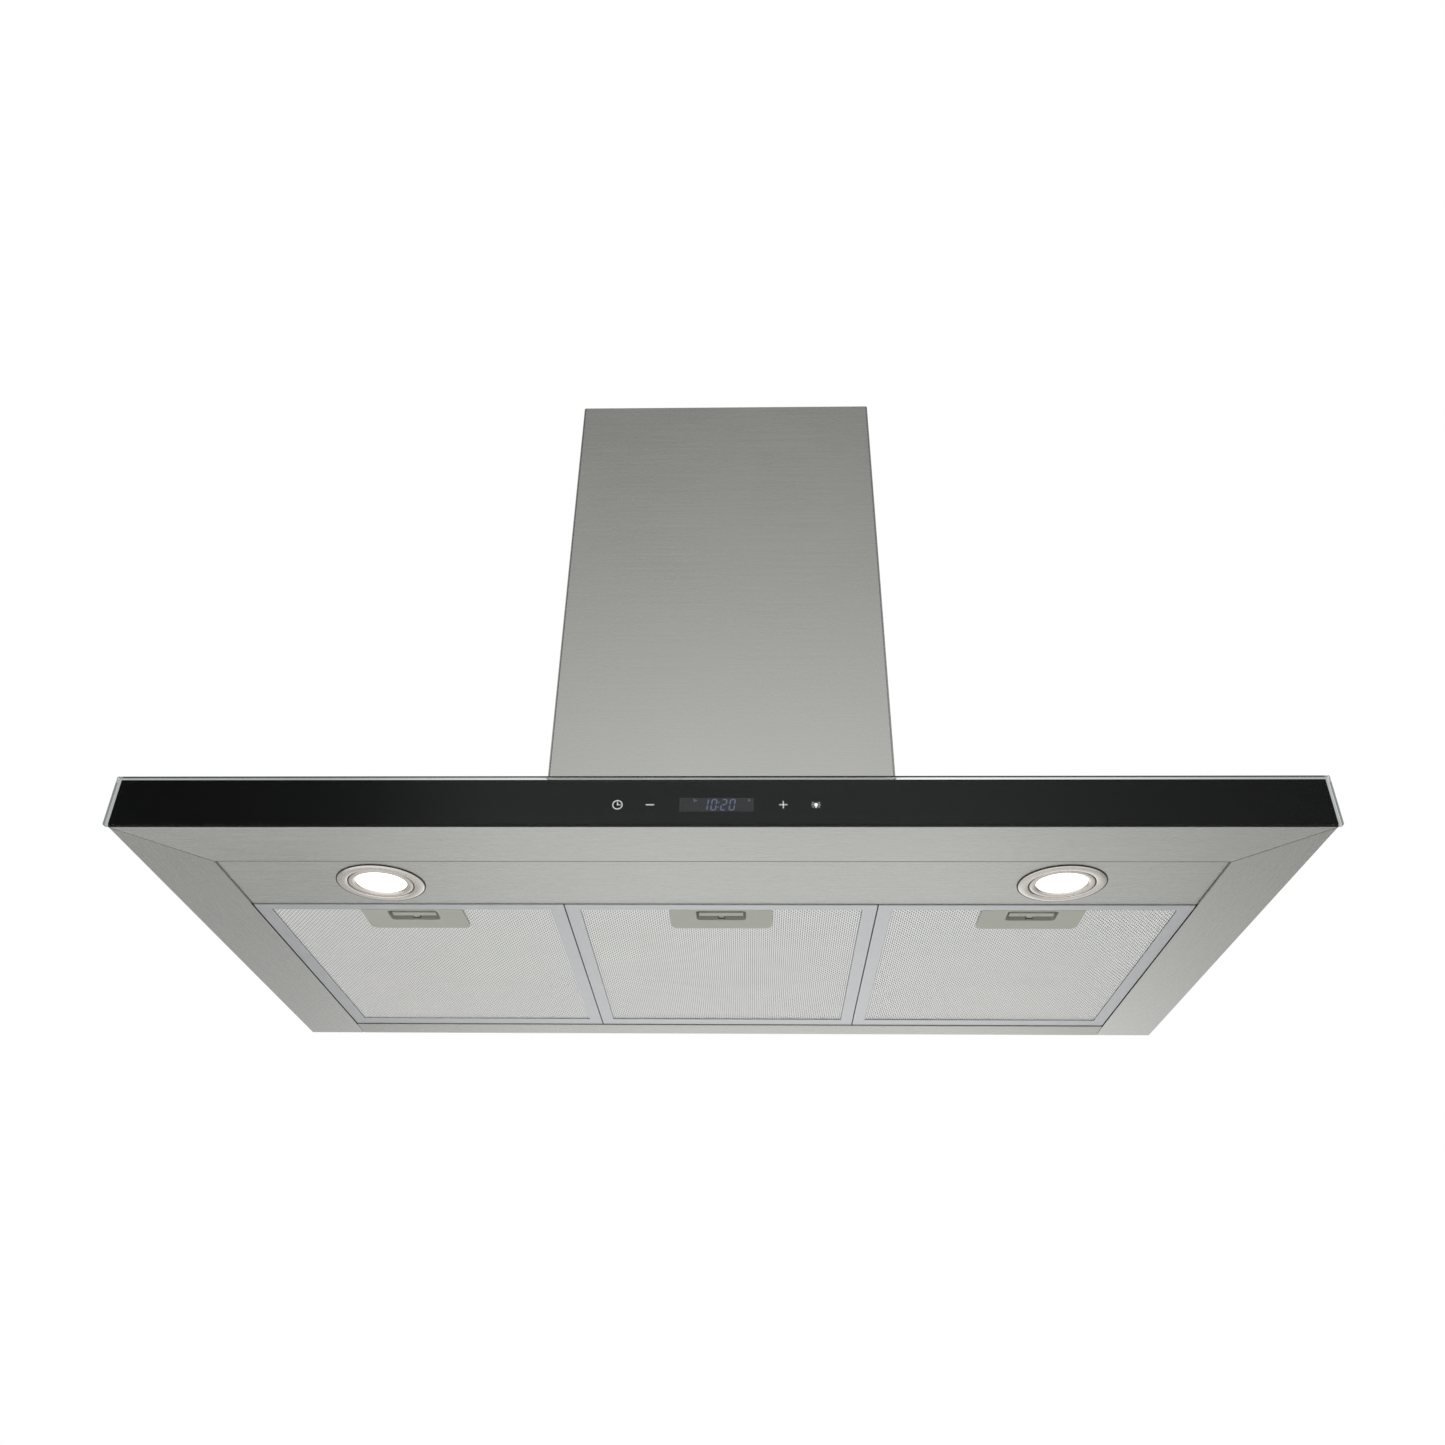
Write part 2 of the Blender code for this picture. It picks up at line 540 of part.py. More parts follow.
def make_filter(name, x):
    """Aluminium channel frame round a mesh pack, with a sprung latch in its handle.

    Inside, y runs back from the filter's front edge and z up from its underside.
    """
    pivot = add_frame(f"filter_pivot_{name}",
                      (x, FILTER_REAR - HINGE_INSET, FILTER_RECESS + HINGE_HEIGHT), HOOD)
    corner = (0, HINGE_INSET - FILTER_DEPTH, -HINGE_HEIGHT)
    half = FILTER_WIDTH / 2
    skin = FILTER_SKIN
    handle_front = FILTER_FRONT_BORDER + FIT
    handle_rear = handle_front + HANDLE_DEPTH
    pocket_front = handle_front + POCKET_FRONT_WALL
    pocket_rear = pocket_front + POCKET_DEPTH
    ridge_front = pocket_front + LATCH_RIDGE_SETBACK
    ridge_rear = ridge_front + LATCH_RIDGE
    tail_end = ridge_rear + LATCH_TAIL_LENGTH
    chamber_end = tail_end + LATCH_TRAVEL + SPRING_SHORTEST
    nose_low = LATCH_NOSE_HEIGHT
    nose_high = LATCH_NOSE_HEIGHT + LATCH_NOSE_THICKNESS
    nose_half = LATCH_NOSE_WIDTH / 2
    nose_play = 2 * FIT

    frame = add_piece(f"filter_frame_{name}", box_shape(
        ((-half, 0, 0), (half, FILTER_DEPTH, FILTER_THICKNESS))), ALUMINIUM, pivot, corner)
    cut(frame, f"filter_opening_{name}", box_shape(
        ((FILTER_BORDER - half, FILTER_FRONT_BORDER, -skin),
         (half - FILTER_BORDER, FILTER_DEPTH - FILTER_REAR_BORDER, FILTER_THICKNESS + skin))))
    cut(frame, f"filter_channel_{name}", box_shape(
        ((skin - half, skin, skin), (half - skin, FILTER_DEPTH - skin, FILTER_THICKNESS - skin))))
    cut(frame, f"nose_slot_{name}", box_shape(
        ((-nose_half - nose_play, -skin, nose_low - nose_play),
         (nose_half + nose_play, 2 * skin, nose_high + nose_play))))
    tab_low = BOTTOM_LIP + FIT - FILTER_RECESS
    tab_high = tab_low + skin
    tab_root = FILTER_THICKNESS - skin / 2
    tab = [(FILTER_DEPTH - 3 * skin, tab_root), (FILTER_DEPTH, tab_root), (FILTER_DEPTH, tab_low),
           (FILTER_DEPTH + TAB_REACH, tab_low), (FILTER_DEPTH + TAB_REACH, tab_high),
           (FILTER_DEPTH - 3 * skin, tab_high)]
    for side, sign in (("left", -1), ("right", 1)):
        middle = sign * TAB_SPACING / 2
        weld(frame, f"filter_tab_{name}_{side}",
             prism_shape(tab, middle - TAB_WIDTH / 2, middle + TAB_WIDTH / 2, "X"))

    edge = half - skin - FIT
    notch = HANDLE_WIDTH / 2 + FIT
    front, rear = skin + FIT, FILTER_DEPTH - skin - FIT
    outline = [(-edge, front), (-notch, front), (-notch, handle_rear + FIT), (notch, handle_rear + FIT),
               (notch, front), (edge, front), (edge, rear), (-edge, rear)]
    add_piece(f"filter_mesh_{name}", prism_shape(outline, skin + FIT, skin + FIT + MESH_THICKNESS),
              MESH, pivot, corner)

    outline = rounded_outline((-HANDLE_WIDTH / 2, handle_front), (HANDLE_WIDTH / 2, handle_rear),
                              (0, 0, HANDLE_CORNER, HANDLE_CORNER))
    handle = add_piece(f"filter_handle_{name}", prism_shape(outline, 0, HANDLE_HEIGHT),
                       GREY_PLASTIC, pivot, corner)
    outline = rounded_outline((-POCKET_WIDTH / 2, pocket_front), (POCKET_WIDTH / 2, pocket_rear),
                              (POCKET_CORNER,) * 4)
    cut(handle, f"pocket_{name}", prism_shape(outline, -skin, HANDLE_HEIGHT - POCKET_ROOF))
    cut(handle, f"handle_slot_{name}", box_shape(
        ((-nose_half - nose_play, 0, nose_low - nose_play),
         (nose_half + nose_play, pocket_front + 2 * FIT, nose_high + nose_play))))
    spring_height = HANDLE_HEIGHT / 2
    chamber_half = LATCH_TAIL_WIDTH / 2 + 2 * FIT
    cut(handle, f"spring_chamber_{name}", box_shape(
        ((-chamber_half, pocket_rear - 2 * FIT, spring_height - chamber_half),
         (chamber_half, chamber_end, spring_height + chamber_half - FIT))))

    ridge_half = POCKET_WIDTH / 2 - 2 * SHEET
    latch = add_piece(f"filter_latch_{name}", box_shape(
        ((-ridge_half, ridge_front, SHEET), (ridge_half, ridge_rear, HANDLE_HEIGHT - POCKET_ROOF - FIT))),
        GREY_PLASTIC, pivot, corner)
    weld(latch, f"latch_nose_{name}", box_shape(
        ((-nose_half, -FIT, nose_low), (nose_half, ridge_front + LATCH_RIDGE / 2, nose_high))))
    tail_half = LATCH_TAIL_WIDTH / 2
    weld(latch, f"latch_tail_{name}", box_shape(
        ((-tail_half, ridge_rear - LATCH_RIDGE / 2, spring_height - tail_half + FIT),
         (tail_half, tail_end, spring_height + tail_half - FIT))))

    coil = spring_shape(tail_end + FIT, chamber_end - tail_end - 2 * FIT)
    bmesh.ops.translate(coil, verts=coil.verts, vec=(0, 0, spring_height))
    add_piece(f"latch_spring_{name}", coil, STEEL, pivot, corner, smooth=True)


# ---------------------------------------------------------------- blower
def scroll_path(offset):
    """Snail outline in Y-Z about the fan axis, from the outlet round the tongue and back."""
    points = [(TONGUE_Y - offset, OUTLET_HEIGHT)]
    for k in range(SCROLL_STEPS + 1):
        share = k / SCROLL_STEPS
        angle = TONGUE_ANGLE + share * (2 * math.pi - TONGUE_ANGLE)
        radius = SCROLL_START + share * (SCROLL_END - SCROLL_START) + offset
        points.append((radius * math.cos(angle), radius * math.sin(angle)))
    points.append((SCROLL_END + offset, OUTLET_HEIGHT))
    return points


def fan_cage_shape():
    """Squirrel-cage drum along X with slots between its blades."""
    bands = [-FAN_LENGTH / 2, FAN_RIM - FAN_LENGTH / 2, -FAN_RIM,
             FAN_RIM, FAN_LENGTH / 2 - FAN_RIM, FAN_LENGTH / 2]
    around = 2 * FAN_SLOTS
    shape = bmesh.new()
    skins = []
    for radius in (FAN_RADIUS, FAN_RADIUS - FAN_BLADE_DEPTH):
        rows = []
        for x in bands:
            row = []
            for k in range(around):
                angle = 2 * math.pi * k / around
                row.append(shape.verts.new((x, radius * math.cos(angle), radius * math.sin(angle))))
            rows.append(row)
        skins.append(rows)
    outer, inner = skins
    for band in range(len(bands) - 1):
        for k in range(around):
            cell = [(band, k - 1), (band, k), (band + 1, k), (band + 1, k - 1)]
            if band % 2 and k % 2:
                for (row_a, turn_a), (row_b, turn_b) in zip(cell, cell[1:] + cell[:1]):
                    shape.faces.new((outer[row_a][turn_a], outer[row_b][turn_b],
                                     inner[row_b][turn_b], inner[row_a][turn_a]))
                continue
            for rows in skins:
                shape.faces.new([rows[row][turn] for row, turn in cell])
    for row in (0, len(bands) - 1):
        for k in range(around):
            shape.faces.new((outer[row][k - 1], outer[row][k], inner[row][k], inner[row][k - 1]))
    return shape


def make_blower():
    axis = add_frame("fan_axis", (0, FAN_Y, FAN_HEIGHT), HOOD)
    loops = []
    for inner, outer in zip(scroll_path(0), scroll_path(SCROLL_WALL)):
        half = BLOWER_INNER_WIDTH / 2
        loops.append([(-half, *inner), (half, *inner), (half, *outer), (-half, *outer)])
    add_piece("blower_scroll", lofted_shape(loops), GALVANISED, axis, smooth=True)

    leg_foot = DECK_TOP + FIT - FAN_HEIGHT
    leg_top = -SCROLL_START / 2
    for name, side in (("left", -1), ("right", 1)):
        near, far = sorted((side * BLOWER_SIDE, side * BLOWER_OUTSIDE))
        wall = add_piece(f"blower_side_{name}", prism_shape(scroll_path(SCROLL_WALL), near, far, "X"),
                         GALVANISED, axis)
        for leg, sign in (("front", -1), ("rear", 1)):
            middle = sign * LEG_SPACING / 2 - FAN_Y
            weld(wall, f"blower_leg_{name}_{leg}", box_shape(
                ((near, middle - LEG_WIDTH / 2, leg_foot), (far, middle + LEG_WIDTH / 2, leg_top))))
        eye = rod_shape(INLET_RADIUS, near - SHEET, far + SHEET, "X", steps=ROUND_STEPS)
        cut(wall, f"inlet_{name}", eye)

    rotor = add_frame("rotor", (0, 0, 0), axis)
    fan = add_piece("impeller", fan_cage_shape(), GALVANISED, rotor)
    web = FAN_RADIUS - FAN_BLADE_DEPTH / 2
    half_web = WEB_THICKNESS / 2
    half_hub = HUB_LENGTH / 2
    bore = SHAFT_RADIUS + FIT
    disc = [(bore, -half_hub), (HUB_RADIUS, -half_hub), (HUB_RADIUS, -half_web), (web, -half_web),
            (web, half_web), (HUB_RADIUS, half_web), (HUB_RADIUS, half_hub), (bore, half_hub)]
    weld(fan, "fan_web", turned_shape(disc, 2 * FAN_SLOTS, "X"))
    shaft_end = MOTOR_START + SHAFT_IN_MOTOR
    add_piece("motor_shaft", rod_shape(SHAFT_RADIUS, -half_hub - SHAFT_RADIUS, shaft_end - FIT, "X"),
              STEEL, rotor, smooth=True)

    motor_end = MOTOR_START + MOTOR_LENGTH
    chamfer = BRACKET_RING
    shell = [(0, MOTOR_START), (MOTOR_RADIUS - chamfer, MOTOR_START), (MOTOR_RADIUS, MOTOR_START + chamfer),
             (MOTOR_RADIUS, motor_end - chamfer), (MOTOR_RADIUS - chamfer, motor_end), (0, motor_end)]
    motor = add_piece("motor", turned_shape(shell, ROUND_STEPS, "X"), STEEL, axis, smooth=True)
    bearing = rod_shape(SHAFT_RADIUS + SHAFT_BORE_PLAY, MOTOR_START - chamfer, shaft_end, "X")
    cut(motor, "motor_bearing", bearing)

    face = BLOWER_OUTSIDE + FIT
    ring = MOTOR_RADIUS + FIT
    band = [(ring, face), (ring + BRACKET_RING, face), (ring + BRACKET_RING, face + BRACKET_THICKNESS),
            (ring, face + BRACKET_THICKNESS)]
    bracket = add_piece("motor_bracket", turned_shape(band, ROUND_STEPS, "X"), GALVANISED, axis)
    for k in range(BRACKET_ARMS):
        arm = box_shape(((face, ring + BRACKET_RING / 2, -BRACKET_ARM / 2),
                         (face + BRACKET_THICKNESS, INLET_RADIUS + BRACKET_FOOT, BRACKET_ARM / 2)))
        turn = Matrix.Rotation(math.radians(BRACKET_FIRST_ARM + 360 * k / BRACKET_ARMS), 4, "X")
        bmesh.ops.transform(arm, matrix=turn, verts=arm.verts)
        weld(bracket, f"bracket_arm_{k + 1}", arm)

    capacitor_x = (BLOWER_OUTSIDE + LOWER_POST_HALF[0]) / 2
    add_piece("capacitor", rod_shape(CAPACITOR_RADIUS, DECK_TOP + FIT, DECK_TOP + FIT + CAPACITOR_HEIGHT,
                                     "Z", (capacitor_x, 0)), WHITE_PLASTIC, HOOD, smooth=True)


def make_duct_collar():
    """Outlet flange with a round spigot, and two flaps on one pin across it."""
    flange_x = BLOWER_OUTSIDE
    flange_y = (SCROLL_END - TONGUE_Y) / 2 + SCROLL_WALL
    top = COLLAR_FOOT + COLLAR_HEIGHT
    pin_z = COLLAR_FOOT + PIN_HEIGHT
    collar = add_piece("duct_collar", box_shape(
        ((-flange_x, -flange_y, COLLAR_FOOT), (flange_x, flange_y, COLLAR_FOOT + SCROLL_WALL))),
        GALVANISED, HOOD, smooth=True)
    spigot = rod_shape(COLLAR_RADIUS, COLLAR_FOOT + SCROLL_WALL / 2, top, "Z", steps=ROUND_STEPS)
    weld(collar, "spigot", spigot)
    bore = rod_shape(COLLAR_BORE, COLLAR_FOOT - SHEET, top + SHEET, "Z", steps=ROUND_STEPS)
    cut(collar, "spigot_bore", bore)
    past = 2 * COLLAR_RADIUS
    cut(collar, "pin_bores", rod_shape(PIN_RADIUS + FIT, -past, past, "X", (0, pin_z)))
    add_piece("damper_pin", rod_shape(PIN_RADIUS, -COLLAR_RADIUS, COLLAR_RADIUS, "X", (0, pin_z)),
              STEEL, HOOD, smooth=True)

    radius = COLLAR_BORE * math.cos(math.pi / ROUND_STEPS) - FLAP_PLAY
    start = PIN_RADIUS + FLAP_PIN_GAP
    steps = ROUND_STEPS // 2
    first = math.asin(start / radius)
    for name, side in (("front", -1), ("rear", 1)):
        hinge = add_frame(f"damper_hinge_{name}", (0, 0, pin_z), HOOD)
        outline = []
        for k in range(steps + 1):
            angle = first + (math.pi - 2 * first) * k / steps
            outline.append((radius * math.cos(angle), side * radius * math.sin(angle)))
        add_piece(f"damper_flap_{name}", prism_shape(outline, -FLAP_THICKNESS / 2, FLAP_THICKNESS / 2),
                  GALVANISED, hinge)


# ---------------------------------------------------------------- chimney and frames
def cover_outline(half, side):
    """U-shaped plan of one half cover, rounded where the sheet is folded."""
    steps = 4
    seam = side * FIT / 2
    loops = []
    for inset in (0, SHEET):
        half_x, half_y = half[0] - inset, half[1] - inset
        radius = COVER_RADIUS - inset
        points = [(-half_x, seam)]
        for sign in (-1, 1):
            for k in range(steps + 1):
                turn = math.radians(90 * k / steps)
                if sign < 0:
                    across, along = -math.cos(turn), math.sin(turn)
                else:
                    across, along = math.sin(turn), math.cos(turn)
                x = sign * (half_x - radius) + radius * across
                y = side * (half_y - radius + radius * along)
                points.append((x, y))
        points.append((half_x, seam))
        loops.append(points)
    return loops[0] + loops[1][::-1]


def make_covers():
    for name, side in (("front", -1), ("rear", 1)):
        top = CHIMNEY_TOP - FIT
        cover = prism_shape(cover_outline(LOWER_HALF, side), DECK, top)
        add_piece(f"lower_chimney_{name}", cover, BRUSHED, HOOD)
        cover = prism_shape(cover_outline(UPPER_HALF, side), UPPER_COVER_FOOT, top)
        upper = add_piece(f"upper_chimney_{name}", cover, BRUSHED, CEILING_SECTION)
        spans = []
        middle = side * UPPER_HALF[1] / 2
        for k in range(VENT_COUNT):
            low = CHIMNEY_TOP - VENT_TOP_MARGIN - k * VENT_PITCH
            spans.append(((-CHIMNEY_WIDTH, middle - VENT_LENGTH / 2, low),
                          (CHIMNEY_WIDTH, middle + VENT_LENGTH / 2, low + VENT_HEIGHT)))
        cut(upper, f"vents_{name}", box_shape(*spans))


def post_shape(half, sign_x, sign_y, foot, top):
    """Angle post with its corner at half, legs along the two sides."""
    outline = [(0, 0), (POST_LEG, 0), (POST_LEG, POST_WALL), (POST_WALL, POST_WALL),
               (POST_WALL, POST_LEG), (0, POST_LEG)]
    placed = [(sign_x * (half[0] - u), sign_y * (half[1] - v)) for u, v in outline]
    return prism_shape(placed, foot, top)


def make_frames():
    overlap = PLATE_THICKNESS / 2
    deck = add_piece("support_frame", box_shape(
        ((-UPPER_POST_HALF[0], -UPPER_POST_HALF[1], DECK),
         (UPPER_POST_HALF[0], UPPER_POST_HALF[1], DECK_TOP))), GALVANISED, HOOD)
    cut(deck, "deck_air_hole", box_shape(
        ((-AIR_HOLE_X / 2, -AIR_HOLE_Y / 2, DECK - SHEET),
         (AIR_HOLE_X / 2, AIR_HOLE_Y / 2, DECK_TOP + SHEET))))
    plate_foot = CHIMNEY_TOP - PLATE_THICKNESS
    plate = add_piece("ceiling_frame", box_shape(
        ((-UPPER_POST_HALF[0], -UPPER_POST_HALF[1], plate_foot),
         (UPPER_POST_HALF[0], UPPER_POST_HALF[1], CHIMNEY_TOP))), GALVANISED, CEILING_SECTION)
    cut(plate, "duct_hole", rod_shape(DUCT_HOLE_RADIUS, plate_foot - SHEET, CHIMNEY_TOP + SHEET, "Z",
                                      steps=ROUND_STEPS))
    bolt_y = LOWER_POST_HALF[1] - POST_LEG / 2
    for end, sign_y in (("front", -1), ("rear", 1)):
        for name, sign_x in (("left", -1), ("right", 1)):
            corner = f"{end}_{name}"
            weld(deck, f"lower_post_{corner}",
                 post_shape(LOWER_POST_HALF, sign_x, sign_y, DECK_TOP - overlap, LOWER_POST_TOP))
            weld(plate, f"upper_post_{corner}",
                 post_shape(UPPER_POST_HALF, sign_x, sign_y, UPPER_POST_FOOT, plate_foot + overlap))
            cut(plate, f"ceiling_screw_{corner}", rod_shape(
                CEILING_SCREW_RADIUS, plate_foot - SHEET, CHIMNEY_TOP + SHEET, "Z",
                (sign_x * (UPPER_POST_HALF[0] - CEILING_SCREW_INSET),
                 sign_y * (UPPER_POST_HALF[1] - CEILING_SCREW_INSET / 2))))
            head = LOWER_POST_HALF[0] - POST_WALL - FIT
            bolt = [(0, UPPER_POST_HALF[0]), (BOLT_RADIUS, UPPER_POST_HALF[0]), (BOLT_RADIUS, head),
                    (BOLT_HEAD_RADIUS, head), (BOLT_HEAD_RADIUS, head - BOLT_HEAD_HEIGHT),
                    (0, head - BOLT_HEAD_HEIGHT)]
            shape = turned_shape([(radius, sign_x * along) for radius, along in bolt], SMALL_STEPS, "X",
                                 (0, sign_y * bolt_y, BOLT_HEIGHT))
            add_piece(f"frame_bolt_{corner}", shape, STEEL, HOOD, smooth=True)
        cut(deck, f"bolt_holes_{end}", rod_shape(BOLT_RADIUS + FIT, -CHIMNEY_WIDTH, CHIMNEY_WIDTH, "X",
                                                 (sign_y * bolt_y, BOLT_HEIGHT)))
        slot = BOLT_RADIUS + FIT
        cut(plate, f"travel_slots_{end}", box_shape(
            ((-CHIMNEY_WIDTH, sign_y * bolt_y - slot, BOLT_HEIGHT - TELESCOPE_TRAVEL - 2 * slot),
             (CHIMNEY_WIDTH, sign_y * bolt_y + slot, BOLT_HEIGHT + 2 * slot))))


def make_electrics():
    """Lamp driver under the roof; terminal box and cable gland inside the chimney."""
    length, depth, height = DRIVER_SIZE
    driver_x = HALF_WIDTH - SHEET - FRONT_STRIP / 2
    low = (-driver_x, PANEL_FRONT + PANEL_DEPTH / 2 - depth / 2, ROOF_UNDER - FIT - height)
    high = (-driver_x + length, PANEL_FRONT + PANEL_DEPTH / 2 + depth / 2, ROOF_UNDER - FIT)
    add_piece("lamp_driver", box_shape((low, high)), WHITE_PLASTIC, HOOD)
    width, depth, height = TERMINAL_SIZE
    box_x = -(BLOWER_OUTSIDE + LOWER_POST_HALF[0]) / 2
    foot = DECK_TOP + FIT
    add_piece("terminal_box", box_shape(
        ((box_x - width / 2, -depth / 2, foot), (box_x + width / 2, depth / 2, foot + height))),
        WHITE_PLASTIC, HOOD)
    base = foot + height + FIT
    gland = [(GLAND_BORE, base), (GLAND_RADIUS, base), (GLAND_RADIUS, base + GLAND_BARREL),
             (GLAND_NOSE_RADIUS, base + GLAND_HEIGHT), (GLAND_BORE, base + GLAND_HEIGHT)]
    add_piece("cable_gland", turned_shape(gland, SMALL_STEPS, "Z", (box_x, 0, 0)),
              BLACK_PLASTIC, HOOD, smooth=True)


make_canopy_shell()
make_bottom_strips()
make_glass()
make_control()
make_lamp_panel()
make_lamp("left", -LAMP_SPACING / 2)
make_lamp("right", LAMP_SPACING / 2)
for filter_name, step in (("left", -1), ("centre", 0), ("right", 1)):
    make_filter(filter_name, step * (FILTER_WIDTH + FILTER_GAP))
make_blower()
make_duct_collar()
make_covers()
make_frames()
make_electrics()
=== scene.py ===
import math

import bpy
from mathutils import Matrix, Vector


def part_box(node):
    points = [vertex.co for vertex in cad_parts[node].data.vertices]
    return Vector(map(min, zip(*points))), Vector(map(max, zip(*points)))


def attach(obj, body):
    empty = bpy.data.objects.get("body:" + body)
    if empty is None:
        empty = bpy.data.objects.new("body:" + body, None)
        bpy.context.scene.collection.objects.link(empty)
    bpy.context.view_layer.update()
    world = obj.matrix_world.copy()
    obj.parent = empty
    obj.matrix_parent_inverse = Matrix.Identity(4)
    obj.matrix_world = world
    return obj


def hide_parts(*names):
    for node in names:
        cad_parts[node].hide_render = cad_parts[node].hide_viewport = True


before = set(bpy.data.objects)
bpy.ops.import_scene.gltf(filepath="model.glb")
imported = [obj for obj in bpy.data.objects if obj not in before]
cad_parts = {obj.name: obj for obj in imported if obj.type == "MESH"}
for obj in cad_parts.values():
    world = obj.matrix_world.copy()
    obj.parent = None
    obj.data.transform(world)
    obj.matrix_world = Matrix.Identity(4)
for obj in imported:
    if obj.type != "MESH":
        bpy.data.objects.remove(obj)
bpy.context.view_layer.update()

bpy.ops.object.select_all(action="DESELECT")


# ---------------------------------------------------------------- canopy and chimney sheet
# Folded 1.2 mm stainless sheet with a straight ground grain: along the canopy's front and
# roof, from front to back on its side strips, and level round the chimney.
# The grain spreads each reflection across itself into a soft, faintly lined sheen.
STAINLESS = ("C4C4C0", "CBCBC7")
ALONG_GRAIN = 8             # pattern steps to the metre
OVER_GRAIN = 1300
SHARP_ANGLE = math.radians(35)
SHEET_EDGE = 0.0005         # radius at the sheet's folds and cut edges
MERGE_DISTANCE = 0.000005


def linear(code):
    """Shader colour for an sRGB hex code."""
    channels = [int(code[k:k + 2], 16) / 255 for k in (0, 2, 4)]
    return [c / 12.92 if c <= 0.04045 else ((c + 0.055) / 1.055) ** 2.4 for c in channels] + [1]


def node(tree, kind, links=None, inputs=None, **settings):
    """One shader node with its settings, its fixed inputs and what is linked into it."""
    made = tree.nodes.new(kind)
    for name, value in settings.items():
        setattr(made, name, value)
    for name, value in (inputs or {}).items():
        made.inputs[name].default_value = value
    for name, output in (links or {}).items():
        tree.links.new(output, made.inputs[name])
    return made


def new_material(name):
    """Empty material with its Principled shader and object coordinates."""
    material = bpy.data.materials.new(name)
    material.use_nodes = True
    tree = material.node_tree
    place = node(tree, "ShaderNodeTexCoord").outputs["Object"]
    return material, tree, tree.nodes["Principled BSDF"], place


def two_tone(tree, amount, dark, light):
    """Blend of two colours by a 0 to 1 pattern."""
    mix = node(tree, "ShaderNodeMix", {"Factor": amount}, data_type="RGBA")
    mix.inputs["A"].default_value = linear(dark)
    mix.inputs["B"].default_value = linear(light)
    return mix.outputs["Result"]


def brushed_sheet(name, grain, across, dark, light):
    """Ground stainless; grain is how many pattern steps a metre holds along X, Y and Z,
    and across is the direction over the grain, in which reflections are drawn out."""
    material, tree, shader, place = new_material(name)
    shader.inputs["Metallic"].default_value = 1.0
    shader.inputs["Anisotropic"].default_value = 0.75
    over = node(tree, "ShaderNodeCombineXYZ", inputs=dict(zip("XYZ", across)))
    tree.links.new(over.outputs["Vector"], shader.inputs["Tangent"])
    stretched = node(tree, "ShaderNodeMapping", {"Vector": place}, {"Scale": grain})
    lines = node(tree, "ShaderNodeTexNoise", {"Vector": stretched.outputs["Vector"]},
                 {"Scale": 1.0, "Detail": 5.0, "Roughness": 0.75})
    handling = node(tree, "ShaderNodeTexNoise", {"Vector": place}, {"Scale": 9.0, "Detail": 3.0})
    tone = node(tree, "ShaderNodeMapRange", {"Value": lines.outputs["Fac"]},
                {"From Min": 0.3, "From Max": 0.7})
    tree.links.new(two_tone(tree, tone.outputs["Result"], dark, light), shader.inputs["Base Color"])
    gloss = node(tree, "ShaderNodeMapRange", {"Value": lines.outputs["Fac"]},
                 {"From Min": 0.3, "From Max": 0.7, "To Min": 0.22, "To Max": 0.27})
    smears = node(tree, "ShaderNodeMath", {0: handling.outputs["Fac"]}, {1: 0.06},
                  operation="MULTIPLY")
    rough = node(tree, "ShaderNodeMath", {0: gloss.outputs["Result"], 1: smears.outputs["Value"]},
                 operation="ADD")
    tree.links.new(rough.outputs["Value"], shader.inputs["Roughness"])
    ridge = node(tree, "ShaderNodeBump", {"Height": lines.outputs["Fac"]},
                 {"Strength": 0.05, "Distance": 0.0003})
    tree.links.new(ridge.outputs["Normal"], shader.inputs["Normal"])
    return material


def paint(material, *names):
    """Gives CAD nodes their finish."""
    for name in names:
        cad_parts[name].material_slots[0].material = material


def apply_step(piece, kind, **settings):
    """One modifier, applied at once."""
    bpy.ops.object.select_all(action="DESELECT")
    piece.select_set(True)
    bpy.context.view_layer.objects.active = piece
    step = piece.modifiers.new(kind.lower(), kind)
    for name, value in settings.items():
        setattr(step, name, value)
    bpy.ops.object.modifier_apply(modifier=step.name)


def round_edges(piece, width, segments=3):
    """Bevels the piece's sharp edges and shades it smooth between them."""
    apply_step(piece, "BEVEL", width=width, segments=segments, limit_method="ANGLE",
               angle_limit=SHARP_ANGLE, use_clamp_overlap=True)
    bpy.ops.object.shade_smooth_by_angle(angle=SHARP_ANGLE)
    apply_step(piece, "WEIGHTED_NORMAL", keep_sharp=True)


def cad_copy(source, name, edge):
    """Copy of a CAD node with its faces merged and its edges rounded."""
    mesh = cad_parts[source].data.copy()
    piece = bpy.data.objects.new(name, mesh)
    bpy.context.scene.collection.objects.link(piece)
    bpy.ops.object.select_all(action="DESELECT")
    piece.select_set(True)
    bpy.context.view_layer.objects.active = piece
    if mesh.has_custom_normals:
        bpy.ops.mesh.customdata_custom_splitnormals_clear()
    bpy.ops.object.mode_set(mode="EDIT")
    bpy.ops.mesh.select_all(action="SELECT")
    bpy.ops.mesh.remove_doubles(threshold=MERGE_DISTANCE)
    bpy.ops.mesh.dissolve_limited(angle_limit=math.radians(1))
    bpy.ops.object.mode_set(mode="OBJECT")
    round_edges(piece, edge, 2)
    return piece


def settle(piece, material, body, slot, *nodes):
    """Material, body and the CAD nodes that the piece stands for; the record slot is not used."""
    piece.data.materials.clear()
    piece.data.materials.append(material)
    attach(piece, body)
    if nodes:
        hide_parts(*nodes)


